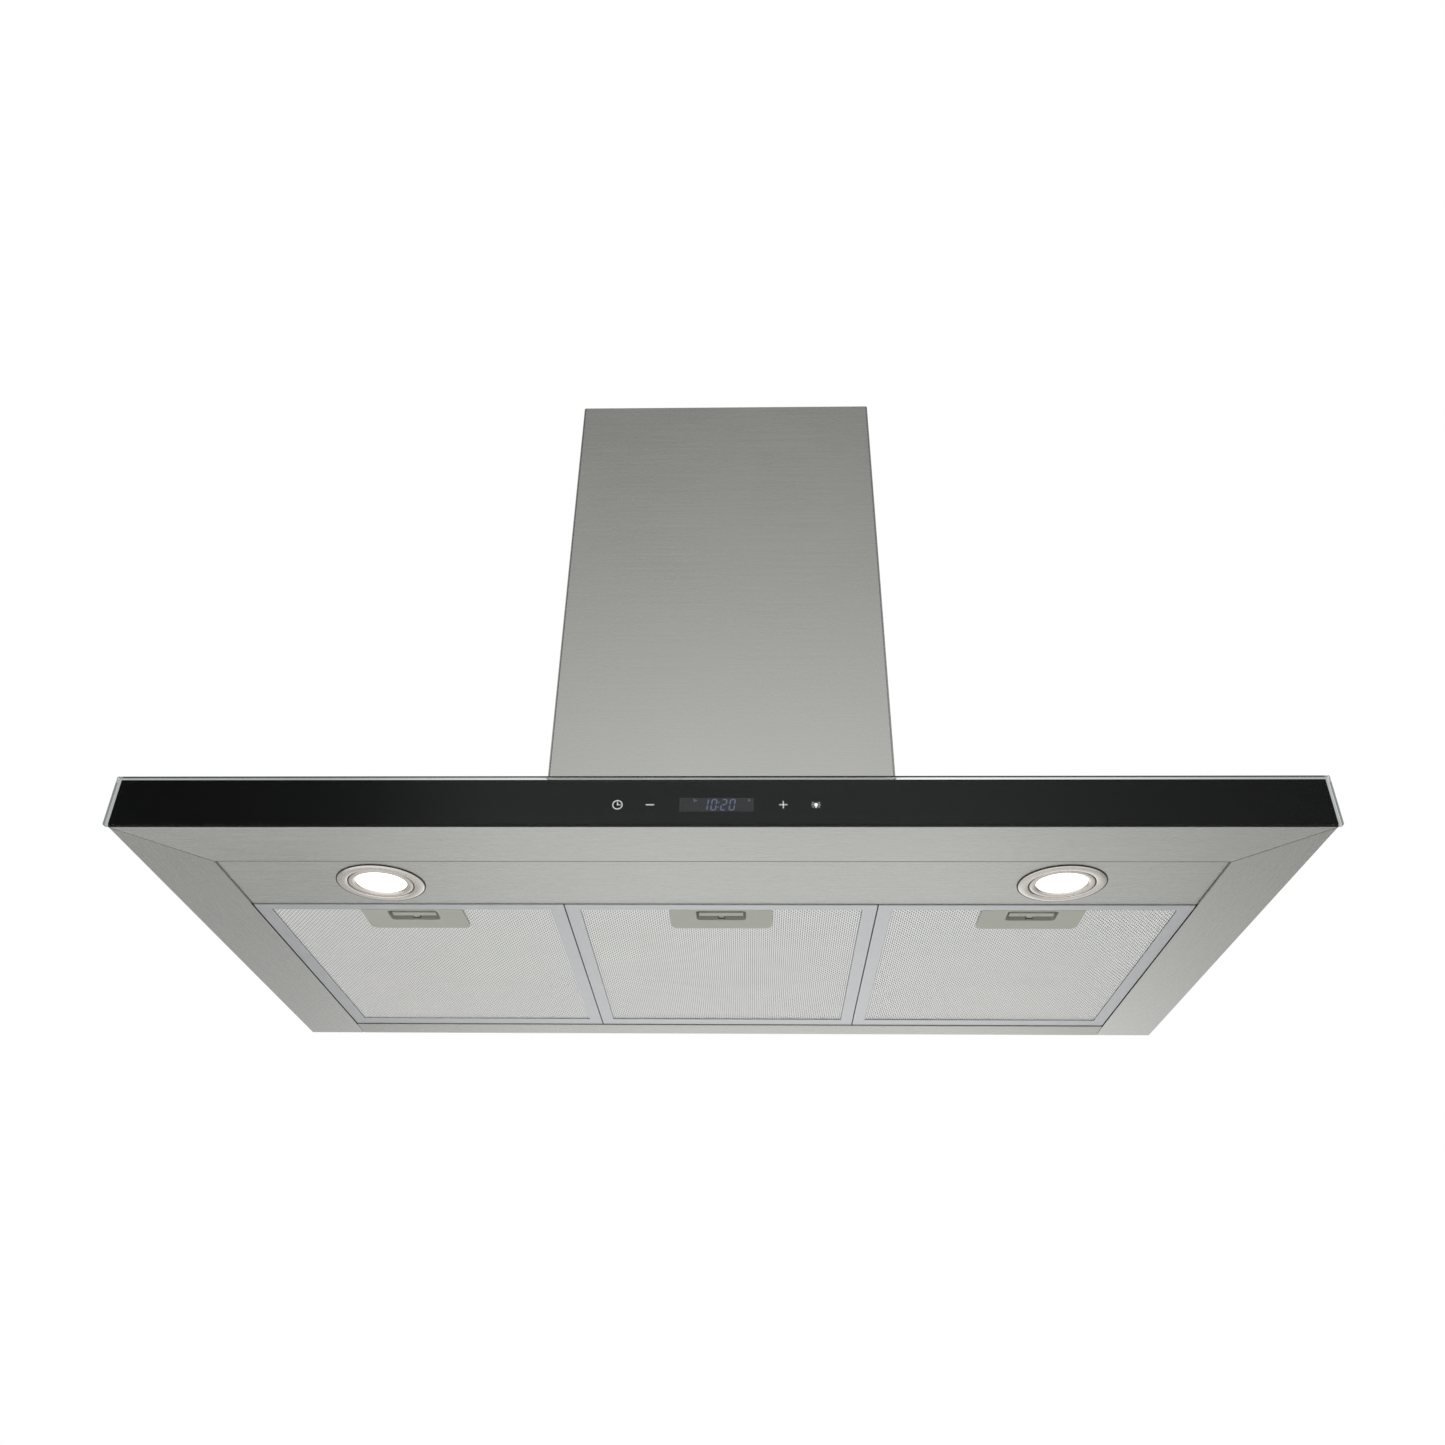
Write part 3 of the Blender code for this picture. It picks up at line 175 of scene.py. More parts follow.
along_x = brushed_sheet("brushed_stainless_long", (ALONG_GRAIN, OVER_GRAIN, OVER_GRAIN),
                        (0, 1, 0), *STAINLESS)
along_y = brushed_sheet("brushed_stainless_cross", (OVER_GRAIN, ALONG_GRAIN, OVER_GRAIN),
                        (1, 0, 0), *STAINLESS)
level = brushed_sheet("brushed_stainless_level", (ALONG_GRAIN, ALONG_GRAIN, OVER_GRAIN),
                      (0, 0, 1), *STAINLESS)
for name, finish in (("bottom_strip_front", along_x), ("bottom_strip_rear", along_x),
                     ("bottom_strip_left", along_y), ("bottom_strip_right", along_y),
                     ("lamp_panel", along_x)):
    sheet = cad_copy(name, f"folded_{name}", SHEET_EDGE)
    settle(sheet, finish, "hood", "brushed_stainless", name)
paint(along_x, "canopy_shell")
paint(level, "lower_chimney_front", "lower_chimney_rear", "upper_chimney_front", "upper_chimney_rear")


# ---------------------------------------------------------------- frames, blower and duct collar
# Zinc-coated steel: the ceiling frame and the posts, the blower's scroll, cheeks and
# impeller, the motor bracket, the collar and its flaps. Zinc freezes in flat crystals a
# few millimetres across, each with its own shade of dull grey.
def zinc_sheet():
    """Zinc coat with its flat crystals."""
    material, tree, shader, place = new_material("galvanised_steel")
    shader.inputs["Metallic"].default_value = 1.0
    crystal = node(tree, "ShaderNodeTexVoronoi", {"Vector": place},
                   {"Scale": 130.0, "Randomness": 1.0})
    shade = node(tree, "ShaderNodeSeparateColor", {"Color": crystal.outputs["Color"]})
    tree.links.new(two_tone(tree, shade.outputs["Red"], "A3A8AB", "C6CACC"), shader.inputs["Base Color"])
    gloss = node(tree, "ShaderNodeMapRange", {"Value": shade.outputs["Green"]},
                 {"To Min": 0.34, "To Max": 0.52})
    tree.links.new(gloss.outputs["Result"], shader.inputs["Roughness"])
    ripple = node(tree, "ShaderNodeBump", {"Height": shade.outputs["Blue"]},
                  {"Strength": 0.1, "Distance": 0.0002})
    tree.links.new(ripple.outputs["Normal"], shader.inputs["Normal"])
    return material


zinc = zinc_sheet()
paint(zinc, "ceiling_frame", "support_frame", "blower_scroll", "blower_side_left", "blower_side_right",
      "impeller", "motor_bracket", "duct_collar", "damper_flap_front", "damper_flap_rear")


# ---------------------------------------------------------------- bright steel pieces
# Turned and drawn steel left bare: the motor's case and shaft, the damper pin, the frame
# bolts and the latch springs. Fine drawing marks break up an otherwise clean reflection.
def bright_steel():
    """Bare drawn steel."""
    material, tree, shader, place = new_material("bright_steel")
    shader.inputs["Metallic"].default_value = 1.0
    marks = node(tree, "ShaderNodeTexNoise", {"Vector": place}, {"Scale": 900.0, "Detail": 3.0})
    tree.links.new(two_tone(tree, marks.outputs["Fac"], "A8A8A8", "C4C4C4"), shader.inputs["Base Color"])
    gloss = node(tree, "ShaderNodeMapRange", {"Value": marks.outputs["Fac"]},
                 {"To Min": 0.2, "To Max": 0.4})
    tree.links.new(gloss.outputs["Result"], shader.inputs["Roughness"])
    return material


steel = bright_steel()
paint(steel, "motor", "motor_shaft", "damper_pin", "frame_bolt_front_left", "frame_bolt_front_right",
      "frame_bolt_rear_left", "frame_bolt_rear_right",
      "latch_spring_left", "latch_spring_centre", "latch_spring_right")


# ---------------------------------------------------------------- moulded electrical pieces
# Injection-moulded housings with a fine spark-eroded texture: black for the control's
# housing and the cable gland, off-white for the touch keys, driver, terminals and capacitor,
# smoked for the display. The lamp holders are pressed from pale ceramic.
def moulded(name, dark, light, gloss, grit, shine=0.5, glow=0.0):
    """Moulded plastic or print; grit is the size of its texture in metres."""
    material, tree, shader, place = new_material(name)
    shader.inputs["Specular IOR Level"].default_value = shine
    texture = node(tree, "ShaderNodeTexNoise", {"Vector": place}, {"Scale": 1 / grit, "Detail": 2.0})
    cloud = node(tree, "ShaderNodeTexNoise", {"Vector": place}, {"Scale": 25.0, "Detail": 2.0})
    tone = two_tone(tree, cloud.outputs["Fac"], dark, light)
    tree.links.new(tone, shader.inputs["Base Color"])
    tree.links.new(tone, shader.inputs["Emission Color"])
    shader.inputs["Emission Strength"].default_value = glow
    sheen = node(tree, "ShaderNodeMapRange", {"Value": texture.outputs["Fac"]},
                 {"To Min": gloss - 0.08, "To Max": gloss + 0.08})
    tree.links.new(sheen.outputs["Result"], shader.inputs["Roughness"])
    relief = node(tree, "ShaderNodeBump", {"Height": texture.outputs["Fac"]},
                  {"Strength": 0.25, "Distance": grit / 4})
    tree.links.new(relief.outputs["Normal"], shader.inputs["Normal"])
    return material


paint(moulded("black_moulded_plastic", "161616", "1E1E1E", 0.5, 0.0004),
      "control_housing", "cable_gland")
paint(moulded("off_white_moulded_plastic", "DAD9D2", "E4E3DC", 0.45, 0.0004),
      "touch_keys_left", "touch_keys_right", "lamp_driver", "terminal_box", "capacitor")
paint(moulded("smoked_display_plastic", "3A3A3C", "424245", 0.3, 0.0003), "display_module")
paint(moulded("lamp_holder_ceramic", "DDD8CA", "E9E4D8", 0.65, 0.0008),
      "lamp_socket_left", "lamp_socket_right")


# ---------------------------------------------------------------- sheet joints
# Dark strips in the fine gaps of the underside, at the front strip's mitred ends and along its seam
# with the lamp panel: painted shadow standing in for the shade inside the gaps. Each fills its gap level
# with the sheet.
GAP_SHADOW_WIDTH = 0.0009
GAP_SHADOW_DEPTH = 0.0016
GAP_SHADOW_FOOT = 0.0             # height of the strips' lower face
GAP_SHADOW_EDGE = 0.0002


def block(name, low, high):
    """Block at its size and place, with its size worked into its mesh."""
    low, high = Vector(low), Vector(high)
    bpy.ops.object.select_all(action="DESELECT")
    bpy.ops.mesh.primitive_cube_add(size=1, location=(low + high) / 2)
    piece = bpy.context.object
    piece.name = name
    piece.scale = high - low
    bpy.ops.object.transform_apply(location=True, rotation=True, scale=True)
    return piece


def gap_shadow_strip(name, start, end):
    """Dark strip of painted gap shadow between two x, y points."""
    run = Vector(end) - Vector(start)
    middle = (Vector(start) + Vector(end)) / 2
    made = block(name, (-run.length / 2, -GAP_SHADOW_WIDTH / 2, GAP_SHADOW_FOOT),
                 (run.length / 2, GAP_SHADOW_WIDTH / 2, GAP_SHADOW_FOOT + GAP_SHADOW_DEPTH))
    round_edges(made, GAP_SHADOW_EDGE, 2)
    made.data.transform(Matrix.Translation((middle.x, middle.y, 0))
                        @ Matrix.Rotation(math.atan2(run.y, run.x), 4, "Z"))
    settle(made, gap_shadow_filler, "hood", "black_plastic")


# Dark material of the gap strips: painted shadow for the shade inside the gaps.
gap_shadow_filler = moulded("painted_gap_shadow", "4A4240", "544C49", 0.6, 0.0004)
strip_low, strip_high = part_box("bottom_strip_front")
left_strip_inner_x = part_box("bottom_strip_left")[1].x
panel_low, panel_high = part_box("lamp_panel")
seam_y = (strip_high.y + panel_low.y) / 2
for side, sign in (("left", -1), ("right", 1)):
    gap_shadow_strip(f"mitre_gap_shadow_{side}", (sign * strip_high.x, strip_low.y),
         (-sign * left_strip_inner_x, strip_high.y))
gap_shadow_strip("panel_gap_shadow", (panel_low.x, seam_y), (panel_high.x, seam_y))


# ---------------------------------------------------------------- control board
# Glass-fibre board under green lacquer. Copper tracks a millimetre apart show through the
# lacquer as slightly lighter, raised lines.
def lacquered_board():
    """Green lacquer over copper tracks."""
    material, tree, shader, place = new_material("green_lacquered_board")
    tracks = node(tree, "ShaderNodeTexBrick", {"Vector": place},
                  {"Scale": 220.0, "Mortar Size": 0.06, "Color1": linear("12542A"),
                   "Color2": linear("185F31"), "Mortar": linear("2C7A45")})
    tree.links.new(tracks.outputs["Color"], shader.inputs["Base Color"])
    shader.inputs["Roughness"].default_value = 0.35
    relief = node(tree, "ShaderNodeBump", {"Height": tracks.outputs["Fac"]},
                  {"Strength": 0.3, "Distance": 0.0001})
    tree.links.new(relief.outputs["Normal"], shader.inputs["Normal"])
    return material


paint(lacquered_board(), "control_board")


# ---------------------------------------------------------------- glass front
# Toughened clear glass 5 mm thick with ground edges, bonded to the canopy. Its back is
# printed black, short of the top and the two ends, where the bare glass shows as a light line.
PRINT_END = 0.0019
PRINT_TOP = 0.0011
PRINT_FOOT = 0.0003
PRINT_THICKNESS = 0.00015
PRINT_CLEARANCE = 0.00005   # kept between faces, so that no two lie in one plane
MARK_DEPTH = 0.00003        # thickness of each printed mark
GLASS_ARRIS = 0.0006        # rounding of the ground edges


def clear_glass():
    """Clear glass with a slight roll wave."""
    material, tree, shader, place = new_material("clear_toughened_glass")
    wave = node(tree, "ShaderNodeTexNoise", {"Vector": place}, {"Scale": 14.0, "Detail": 1.0})
    tree.links.new(two_tone(tree, wave.outputs["Fac"], "E2E9E6", "E8EEEB"), shader.inputs["Base Color"])
    shader.inputs["Transmission Weight"].default_value = 1.0
    shader.inputs["Roughness"].default_value = 0.02
    shader.inputs["IOR"].default_value = 1.12
    roll = node(tree, "ShaderNodeBump", {"Height": wave.outputs["Fac"]},
                {"Strength": 0.02, "Distance": 0.0005})
    tree.links.new(roll.outputs["Normal"], shader.inputs["Normal"])
    return material


glass_low, glass_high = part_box("glass_panel")
print_face = glass_high.y - PRINT_THICKNESS
glass_back = print_face + PRINT_CLEARANCE
pane = block("glass_pane", glass_low, (glass_high.x, glass_back, glass_high.z))
round_edges(pane, GLASS_ARRIS, 3)
settle(pane, clear_glass(), "hood", "black_glass", "glass_panel")

print_layer = block("glass_back_print",
                    (glass_low.x + PRINT_END, print_face, glass_low.z + PRINT_FOOT),
                    (glass_high.x - PRINT_END, glass_high.y, glass_high.z - PRINT_TOP))
fired_enamel = moulded("black_fired_enamel", "030303", "050505", 0.09, 0.0006, shine=0.33)
settle(print_layer, fired_enamel, "hood", "black_glass")


# ---------------------------------------------------------------- marks of the touch control
# Symbols printed behind the glass in pale grey: a clock, minus, plus and a lamp over the
# touch keys, and a smoked window between them whose display shows the time in dim digits.
MARK_LINE = 0.0007
SIGN_LENGTH = 0.0061
CLOCK_RADIUS = 0.0038
LAMP_RADIUS = 0.0013
LAMP_RAYS = (0, 40, 140, 180, 220, 320)
DIGIT_HEIGHT = 0.0094
DIGIT_WIDTH = 0.0043
DIGIT_LINE = 0.0009
DIGIT_LEAN = math.tan(math.radians(8))
DIGIT_PLACES = (-0.0082, -0.0020, 0.0014, 0.0053, 0.0115)
SHOWN_TIME = "10:20"
SEGMENTS = {"0": "abcdef", "1": "bc", "2": "abged"}
WINDOW_END_MARGIN = 0.0012
WINDOW_TOP_MARGIN = 0.0011
LEFT_SYMBOL = (0.0125, 0.0035)      # in from the display's left end, up from its middle
RIGHT_SYMBOL = (0.0045, 0.0036)     # in from its right end, up from its middle

mark_back = print_face - PRINT_CLEARANCE
mark_face = mark_back - MARK_DEPTH
display_low, display_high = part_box("display_module")
keys_low, keys_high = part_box("touch_keys_left")
mark_z = (display_low.z + display_high.z) / 2
pad_radius = (keys_high.z - keys_low.z) / 2
outer_x, inner_x = -(keys_low.x + pad_radius), -(keys_high.x - pad_radius)


def bar(x, z, width, height, turn=0.0, face=None):
    """Flat printed stroke centred at x, z behind the glass."""
    face = mark_face if face is None else face
    stroke = block("stroke", (x - width / 2, face, z - height / 2),
                   (x + width / 2, face + MARK_DEPTH, z + height / 2))
    if turn:
        stroke.data.transform(Matrix.Translation((x, 0, z)) @ Matrix.Rotation(turn, 4, "Y")
                              @ Matrix.Translation((-x, 0, -z)))
    return stroke


def ring(x, z, radius, line):
    """Flat printed ring."""
    bpy.ops.object.select_all(action="DESELECT")
    bpy.ops.mesh.primitive_circle_add(vertices=40, radius=radius, location=(x, mark_face, z),
                                      rotation=(math.pi / 2, 0, 0), fill_type="NGON")
    bpy.ops.object.transform_apply(location=True, rotation=True, scale=True)
    bpy.ops.object.mode_set(mode="EDIT")
    bpy.ops.mesh.select_all(action="SELECT")
    bpy.ops.mesh.inset(thickness=line)
    bpy.ops.mesh.delete(type="FACE")
    bpy.ops.mesh.select_all(action="SELECT")
    bpy.ops.mesh.extrude_region_move(TRANSFORM_OT_translate={"value": (0, MARK_DEPTH, 0)})
    bpy.ops.mesh.select_all(action="SELECT")
    bpy.ops.mesh.normals_make_consistent()
    bpy.ops.object.mode_set(mode="OBJECT")
    return bpy.context.object


def join(name, parts):
    """One mesh from several."""
    bpy.ops.object.select_all(action="DESELECT")
    for part in parts:
        part.select_set(True)
    bpy.context.view_layer.objects.active = parts[0]
    if len(parts) > 1:
        bpy.ops.object.join()
    parts[0].name = name
    return parts[0]


def star(x, z, angles, inner, length, line, face=None):
    """Strokes set round a point at angles in degrees."""
    reach = inner + length / 2
    return [bar(x + reach * math.cos(angle), z + reach * math.sin(angle), length, line, -angle, face)
            for angle in map(math.radians, angles)]


# The printed marks are given a faint glow of their own: painted light on the print.
printed_grey_painted_glow = moulded("pale_grey_print_painted_glow", "F0F1F1", "F8F9F9", 0.6, 0.0003, shine=0.0, glow=0.40)
clock = join("mark_clock", [
    ring(-outer_x, mark_z, CLOCK_RADIUS, MARK_LINE),
    bar(-outer_x, mark_z + CLOCK_RADIUS * 0.28, MARK_LINE * 0.8, CLOCK_RADIUS * 0.85),
    bar(-outer_x + CLOCK_RADIUS * 0.3, mark_z, CLOCK_RADIUS * 0.7, MARK_LINE * 0.8)])
minus = join("mark_minus", [bar(-inner_x, mark_z, SIGN_LENGTH, MARK_LINE * 1.2)])
plus = join("mark_plus",
            [bar(inner_x, mark_z, MARK_LINE, MARK_LINE)]
            + star(inner_x, mark_z, range(0, 360, 90), MARK_LINE / 2,
                   (SIGN_LENGTH - MARK_LINE) / 2, MARK_LINE))
lamp_mark = join("mark_lamp",
                 star(outer_x, mark_z, range(0, 360, 45), 0, LAMP_RADIUS, LAMP_RADIUS * 0.85)
                 + [bar(outer_x, mark_z - 1.5 * LAMP_RADIUS, LAMP_RADIUS, LAMP_RADIUS)]
                 + star(outer_x, mark_z, LAMP_RAYS, 1.6 * LAMP_RADIUS, LAMP_RADIUS,
                        MARK_LINE * 0.7))
for mark in (clock, minus, plus, lamp_mark):
    settle(mark, printed_grey_painted_glow, "hood", "white_plastic")

window = block("display_window",
               (display_low.x + WINDOW_END_MARGIN, mark_face, display_low.z + WINDOW_TOP_MARGIN),
               (display_high.x - WINDOW_END_MARGIN, mark_back, display_high.z - WINDOW_TOP_MARGIN))
smoked_print = moulded("smoked_window_print", "48484A", "4E4E50", 0.2, 0.0004, shine=0.3)
settle(window, smoked_print, "hood", "display_plastic")

digit_face = mark_face - PRINT_CLEARANCE - MARK_DEPTH
half_tall = DIGIT_HEIGHT / 2
half_wide = DIGIT_WIDTH / 2 - DIGIT_LINE / 2
upright = (DIGIT_LINE, half_tall - 1.3 * DIGIT_LINE)
level_stroke = (DIGIT_WIDTH - 2.2 * DIGIT_LINE, DIGIT_LINE)
strokes = {"a": (0, half_tall - DIGIT_LINE / 2, level_stroke), "g": (0, 0, level_stroke),
           "d": (0, DIGIT_LINE / 2 - half_tall, level_stroke),
           "b": (half_wide, half_tall / 2, upright), "c": (half_wide, -half_tall / 2, upright),
           "e": (-half_wide, -half_tall / 2, upright), "f": (-half_wide, half_tall / 2, upright)}
lit_strokes = []
for x, character in zip(DIGIT_PLACES, SHOWN_TIME):
    if character == ":":
        lit_strokes += [bar(x, mark_z + sign * half_tall * 0.4, DIGIT_LINE, DIGIT_LINE, face=digit_face)
                        for sign in (-1, 1)]
        continue
    for name in SEGMENTS[character]:
        aside, above, size = strokes[name]
        lit_strokes.append(bar(x + aside, mark_z + above, *size, face=digit_face))
digits = join("display_digits", lit_strokes)
for corner in digits.data.vertices:
    corner.co.x += (corner.co.z - mark_z) * DIGIT_LEAN
dim_digits = moulded("dim_display_digits", "74789A", "7A7EA0", 0.6, 0.0004, shine=0.0, glow=0.35)
settle(digits, dim_digits, "hood", "display_plastic")
symbols = join("display_symbols",
               star(display_low.x + LEFT_SYMBOL[0], mark_z + LEFT_SYMBOL[1], range(0, 360, 120),
                    inner=0.0002, length=0.0014, line=0.0006, face=digit_face)
               + star(display_high.x - RIGHT_SYMBOL[0], mark_z + RIGHT_SYMBOL[1], range(0, 360, 72),
                      inner=0.0, length=0.0010, line=0.0004, face=digit_face))
settle(symbols, dim_digits, "hood", "display_plastic")


# ---------------------------------------------------------------- lamps
# Satin nickel-chrome trim pressed into the panel over a thin black rubber gasket, whose rim out
# past the trim's edge is painted shadow for the gap there, a retaining ring inside it with a narrow
# groove between, and a reflector lamp whose frosted lens glows warm white. Each is turned from its
# profile.
LATHE_STEPS = 96
GROOVE_WIDTH = 0.0008       # between the retaining ring and the trim
LIP_THICKNESS = 0.0012
RETAINER_BORE = 0.0200
AXIS_GAP = 0.0002           # radius of the small hole left on a lamp's axis


def turned(name, centre, profile):
    """Circle drawn out through the (radius, height) points of a closed profile."""
    x, y = centre
    bpy.ops.object.select_all(action="DESELECT")
    bpy.ops.mesh.primitive_circle_add(vertices=LATHE_STEPS, radius=profile[0][0],
                                      location=(x, y, profile[0][1]))
    piece = bpy.context.object
    piece.name = name
    bpy.ops.object.transform_apply(location=True, rotation=True, scale=True)
    bpy.ops.object.mode_set(mode="EDIT")
    bpy.ops.mesh.select_all(action="SELECT")
    for (radius, height), (next_radius, next_height) in zip(profile, profile[1:] + profile[:1]):
        bpy.ops.mesh.extrude_edges_move(TRANSFORM_OT_translate={"value": (0, 0, next_height - height)})
        share = next_radius / radius
        bpy.ops.transform.resize(value=(share, share, 1), center_override=(x, y, next_height))
    bpy.ops.mesh.select_all(action="SELECT")
    bpy.ops.mesh.remove_doubles(threshold=0.000001)
    bpy.ops.mesh.normals_make_consistent()
    bpy.ops.object.mode_set(mode="OBJECT")
    bpy.ops.object.shade_smooth_by_angle(angle=SHARP_ANGLE)
    return piece


def satin_chrome():
    """Warm nickel under satin chrome."""
    material, tree, shader, place = new_material("satin_nickel_chrome")
    shader.inputs["Metallic"].default_value = 1.0
    marks = node(tree, "ShaderNodeTexNoise", {"Vector": place}, {"Scale": 1400.0, "Detail": 2.0})
    tree.links.new(two_tone(tree, marks.outputs["Fac"], "DCD6CF", "E6E1DB"), shader.inputs["Base Color"])
    gloss = node(tree, "ShaderNodeMapRange", {"Value": marks.outputs["Fac"]},
                 {"To Min": 0.22, "To Max": 0.34})
    tree.links.new(gloss.outputs["Result"], shader.inputs["Roughness"])
    return material


def glowing_lens():
    """Frosted lens lit from inside."""
    material, tree, shader, place = new_material("frosted_lamp_lens")
    frost = node(tree, "ShaderNodeTexVoronoi", {"Vector": place}, {"Scale": 450.0})
    tone = two_tone(tree, frost.outputs["Distance"], "FFF7E8", "FFFDF7")
    tree.links.new(tone, shader.inputs["Base Color"])
    tree.links.new(tone, shader.inputs["Emission Color"])
    shader.inputs["Emission Strength"].default_value = 2.2
    shader.inputs["Roughness"].default_value = 0.35
    relief = node(tree, "ShaderNodeBump", {"Height": frost.outputs["Distance"]},
                  {"Strength": 0.3, "Distance": 0.0003})
    tree.links.new(relief.outputs["Normal"], shader.inputs["Normal"])
    return material


chrome, lens = satin_chrome(), glowing_lens()
# Black rubber of the gasket ring, whose rim paints the shadow gap round each trim's edge.
gasket_shadow_rubber = moulded("black_gasket_painted_shadow", "2C2A29", "363433", 0.7, 0.0004)
for side in ("left", "right"):
    trim_low, trim_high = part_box(f"lamp_trim_{side}")
    centre = ((trim_low.x + trim_high.x) / 2, (trim_low.y + trim_high.y) / 2)
    edge = (trim_high.x - trim_low.x) / 2
    ring_low, ring_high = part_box(f"lamp_ring_{side}")
    ring_edge = (ring_high.x - ring_low.x) / 2
    bore = ring_edge + GROOVE_WIDTH
    lip = trim_low.z
    flange = lip + LIP_THICKNESS
    trim = turned(f"lamp_trim_ring_{side}", centre, [
        (bore, lip + 0.0006), (bore + 0.0004, lip + 0.0002), (bore + 0.0010, lip),
        (edge - 0.0030, lip), (edge - 0.0014, lip + 0.0003), (edge - 0.0004, lip + 0.0008),
        (edge, flange), (bore + 0.0014, flange), (bore + 0.0014, trim_high.z), (bore, trim_high.z)])
    settle(trim, chrome, "hood", "satin_chrome", f"lamp_trim_{side}")
    # Gasket ring standing out past the trim's edge: painted shadow for the gap round the trim.
    gasket_shadow_ring = turned(f"lamp_gasket_painted_shadow_{side}", centre, [
        (edge - 0.0010, flange - 0.0004), (edge + 0.0003, flange - 0.0004),
        (edge + 0.0006, flange - 0.0001), (edge + 0.0006, flange + 0.0002),
        (edge - 0.0010, flange + 0.0002)])
    settle(gasket_shadow_ring, gasket_shadow_rubber, "hood", "black_plastic")
    foot = ring_low.z
    holder = turned(f"lamp_retainer_{side}", centre, [
        (RETAINER_BORE, foot + 0.0016), (RETAINER_BORE + 0.0006, foot + 0.0008),
        (RETAINER_BORE + 0.0016, foot + 0.0002), (RETAINER_BORE + 0.0026, foot),
        (ring_edge - 0.0008, foot), (ring_edge - 0.0002, foot + 0.0002), (ring_edge, foot + 0.0007),
        (ring_edge, ring_high.z), (ring_edge - 0.0014, ring_high.z),
        (ring_edge - 0.0014, foot + 0.0024), (RETAINER_BORE, foot + 0.0024)])
    settle(holder, chrome, "hood", "satin_chrome", f"lamp_ring_{side}")
    bulb_low, bulb_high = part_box(f"lamp_bulb_{side}")
    face = bulb_low.z
    radius = (bulb_high.x - bulb_low.x) / 2
    bulb = turned(f"lamp_reflector_{side}", centre, [
        (AXIS_GAP, face + 0.0002), (radius * 0.5, face), (radius * 0.86, face + 0.0001),
        (radius * 0.97, face + 0.0006), (radius, face + 0.0016), (radius, face + 0.0024),
        (radius * 0.95, face + 0.0060), (radius * 0.82, face + 0.0108),
        (radius * 0.62, face + 0.0150), (0.0090, face + 0.0186), (0.0080, face + 0.0200),
        (0.0080, bulb_high.z), (AXIS_GAP, bulb_high.z)])
    settle(bulb, lens, "hood", "lamp_glass", f"lamp_bulb_{side}")


# ---------------------------------------------------------------- grease filters
# Cassettes of satin aluminium: a channel folded from one strip and mitred at its corners
# round a stack of expanded mesh. The outer mesh is slit and stretched into diamonds 3.8 mm wide,
# and given a near-white, mostly diffuse tone: painted sheen. The layers behind it show between
# them as a darker grey tangle: painted shade between the layers.
STRAND_PITCH = 0.0019       # half a diamond's width
STRAND_WIDTH = 0.00120
STRAND_THICKNESS = 0.00045
HALF_PERIOD = 0.0027        # half a diamond's length
MESH_MARGIN = 0.0120
MESH_FRONT_MARGIN = 0.0098
MESH_REAR_MARGIN = 0.0150
MESH_TUCK = 0.002           # how far the outer mesh runs in behind the frame's border
MESH_REAR_TUCK = 0.0022
HANDLE_CUT = 0.0025         # how far inside the handle's edge the outer mesh is cut away
KNOT_SHARE = 0.12           # part of a strand's width that neighbours share where they meet
INNER_GAP = 0.0003          # between the outer mesh and the layer behind it
LATTICE_MERGE = 0.00001
RIM_EDGE = 0.0004
INNER_EDGE = 0.0002
HANDLE_EDGE = 0.0006
LATCH_EDGE = 0.0007


def pick(piece, kind, passes):
    """Leaves the piece in edit mode with only what passes selected, of its VERTs or FACEs."""
    bpy.ops.object.select_all(action="DESELECT")
    piece.select_set(True)
    bpy.context.view_layer.objects.active = piece
    bpy.ops.object.mode_set(mode="EDIT")
    bpy.ops.mesh.select_mode(type=kind)
    bpy.ops.mesh.select_all(action="DESELECT")
    bpy.ops.object.mode_set(mode="OBJECT")
    for item in piece.data.vertices if kind == "VERT" else piece.data.polygons:
        item.select = passes(item)
    bpy.ops.object.mode_set(mode="EDIT")


def lattice(name, low, high, foot):
    """Expanded mesh between two corners: zigzag strands that meet their neighbours in turn."""
    swing = STRAND_PITCH / 2 - KNOT_SHARE * STRAND_WIDTH
    columns = round((high[0] - low[0]) / (2 * STRAND_PITCH))
    rows = round((high[1] - low[1]) / (2 * HALF_PERIOD))
    bpy.ops.object.select_all(action="DESELECT")
    bpy.ops.mesh.primitive_plane_add(size=1)
    piece = bpy.context.object
    piece.name = name
    for corner in piece.data.vertices:
        lean = (swing if corner.co.y > 0 else -swing) / 2
        corner.co.x = corner.co.x * STRAND_WIDTH + lean - STRAND_PITCH / 2
        corner.co.y = (corner.co.y - 0.5) * HALF_PERIOD
    bpy.ops.object.mode_set(mode="EDIT")
    bpy.ops.mesh.select_all(action="SELECT")
    bpy.ops.mesh.extrude_region_move(TRANSFORM_OT_translate={"value": (0, 0, STRAND_THICKNESS)})
    bpy.ops.mesh.select_all(action="SELECT")
    bpy.ops.mesh.normals_make_consistent()
    bpy.ops.object.mode_set(mode="OBJECT")
    pick(piece, "FACE", lambda face: abs(face.normal.y) > 0.9)
    bpy.ops.mesh.delete(type="FACE")
    bpy.ops.object.mode_set(mode="OBJECT")
    apply_step(piece, "MIRROR", use_axis=(False, True, False), merge_threshold=LATTICE_MERGE)
    apply_step(piece, "ARRAY", count=rows, use_relative_offset=False, use_constant_offset=True,
               constant_offset_displace=(0, 2 * HALF_PERIOD, 0), use_merge_vertices=True,
               merge_threshold=LATTICE_MERGE)
    apply_step(piece, "MIRROR", use_axis=(True, False, False), use_mirror_merge=False)
    apply_step(piece, "ARRAY", count=columns, use_relative_offset=False, use_constant_offset=True,
               constant_offset_displace=(2 * STRAND_PITCH, 0, 0))
    inset = (high[0] - low[0] - columns * 2 * STRAND_PITCH) / 2 + STRAND_PITCH
    piece.data.transform(Matrix.Translation((low[0] + inset, low[1] + HALF_PERIOD, foot)))
    return piece


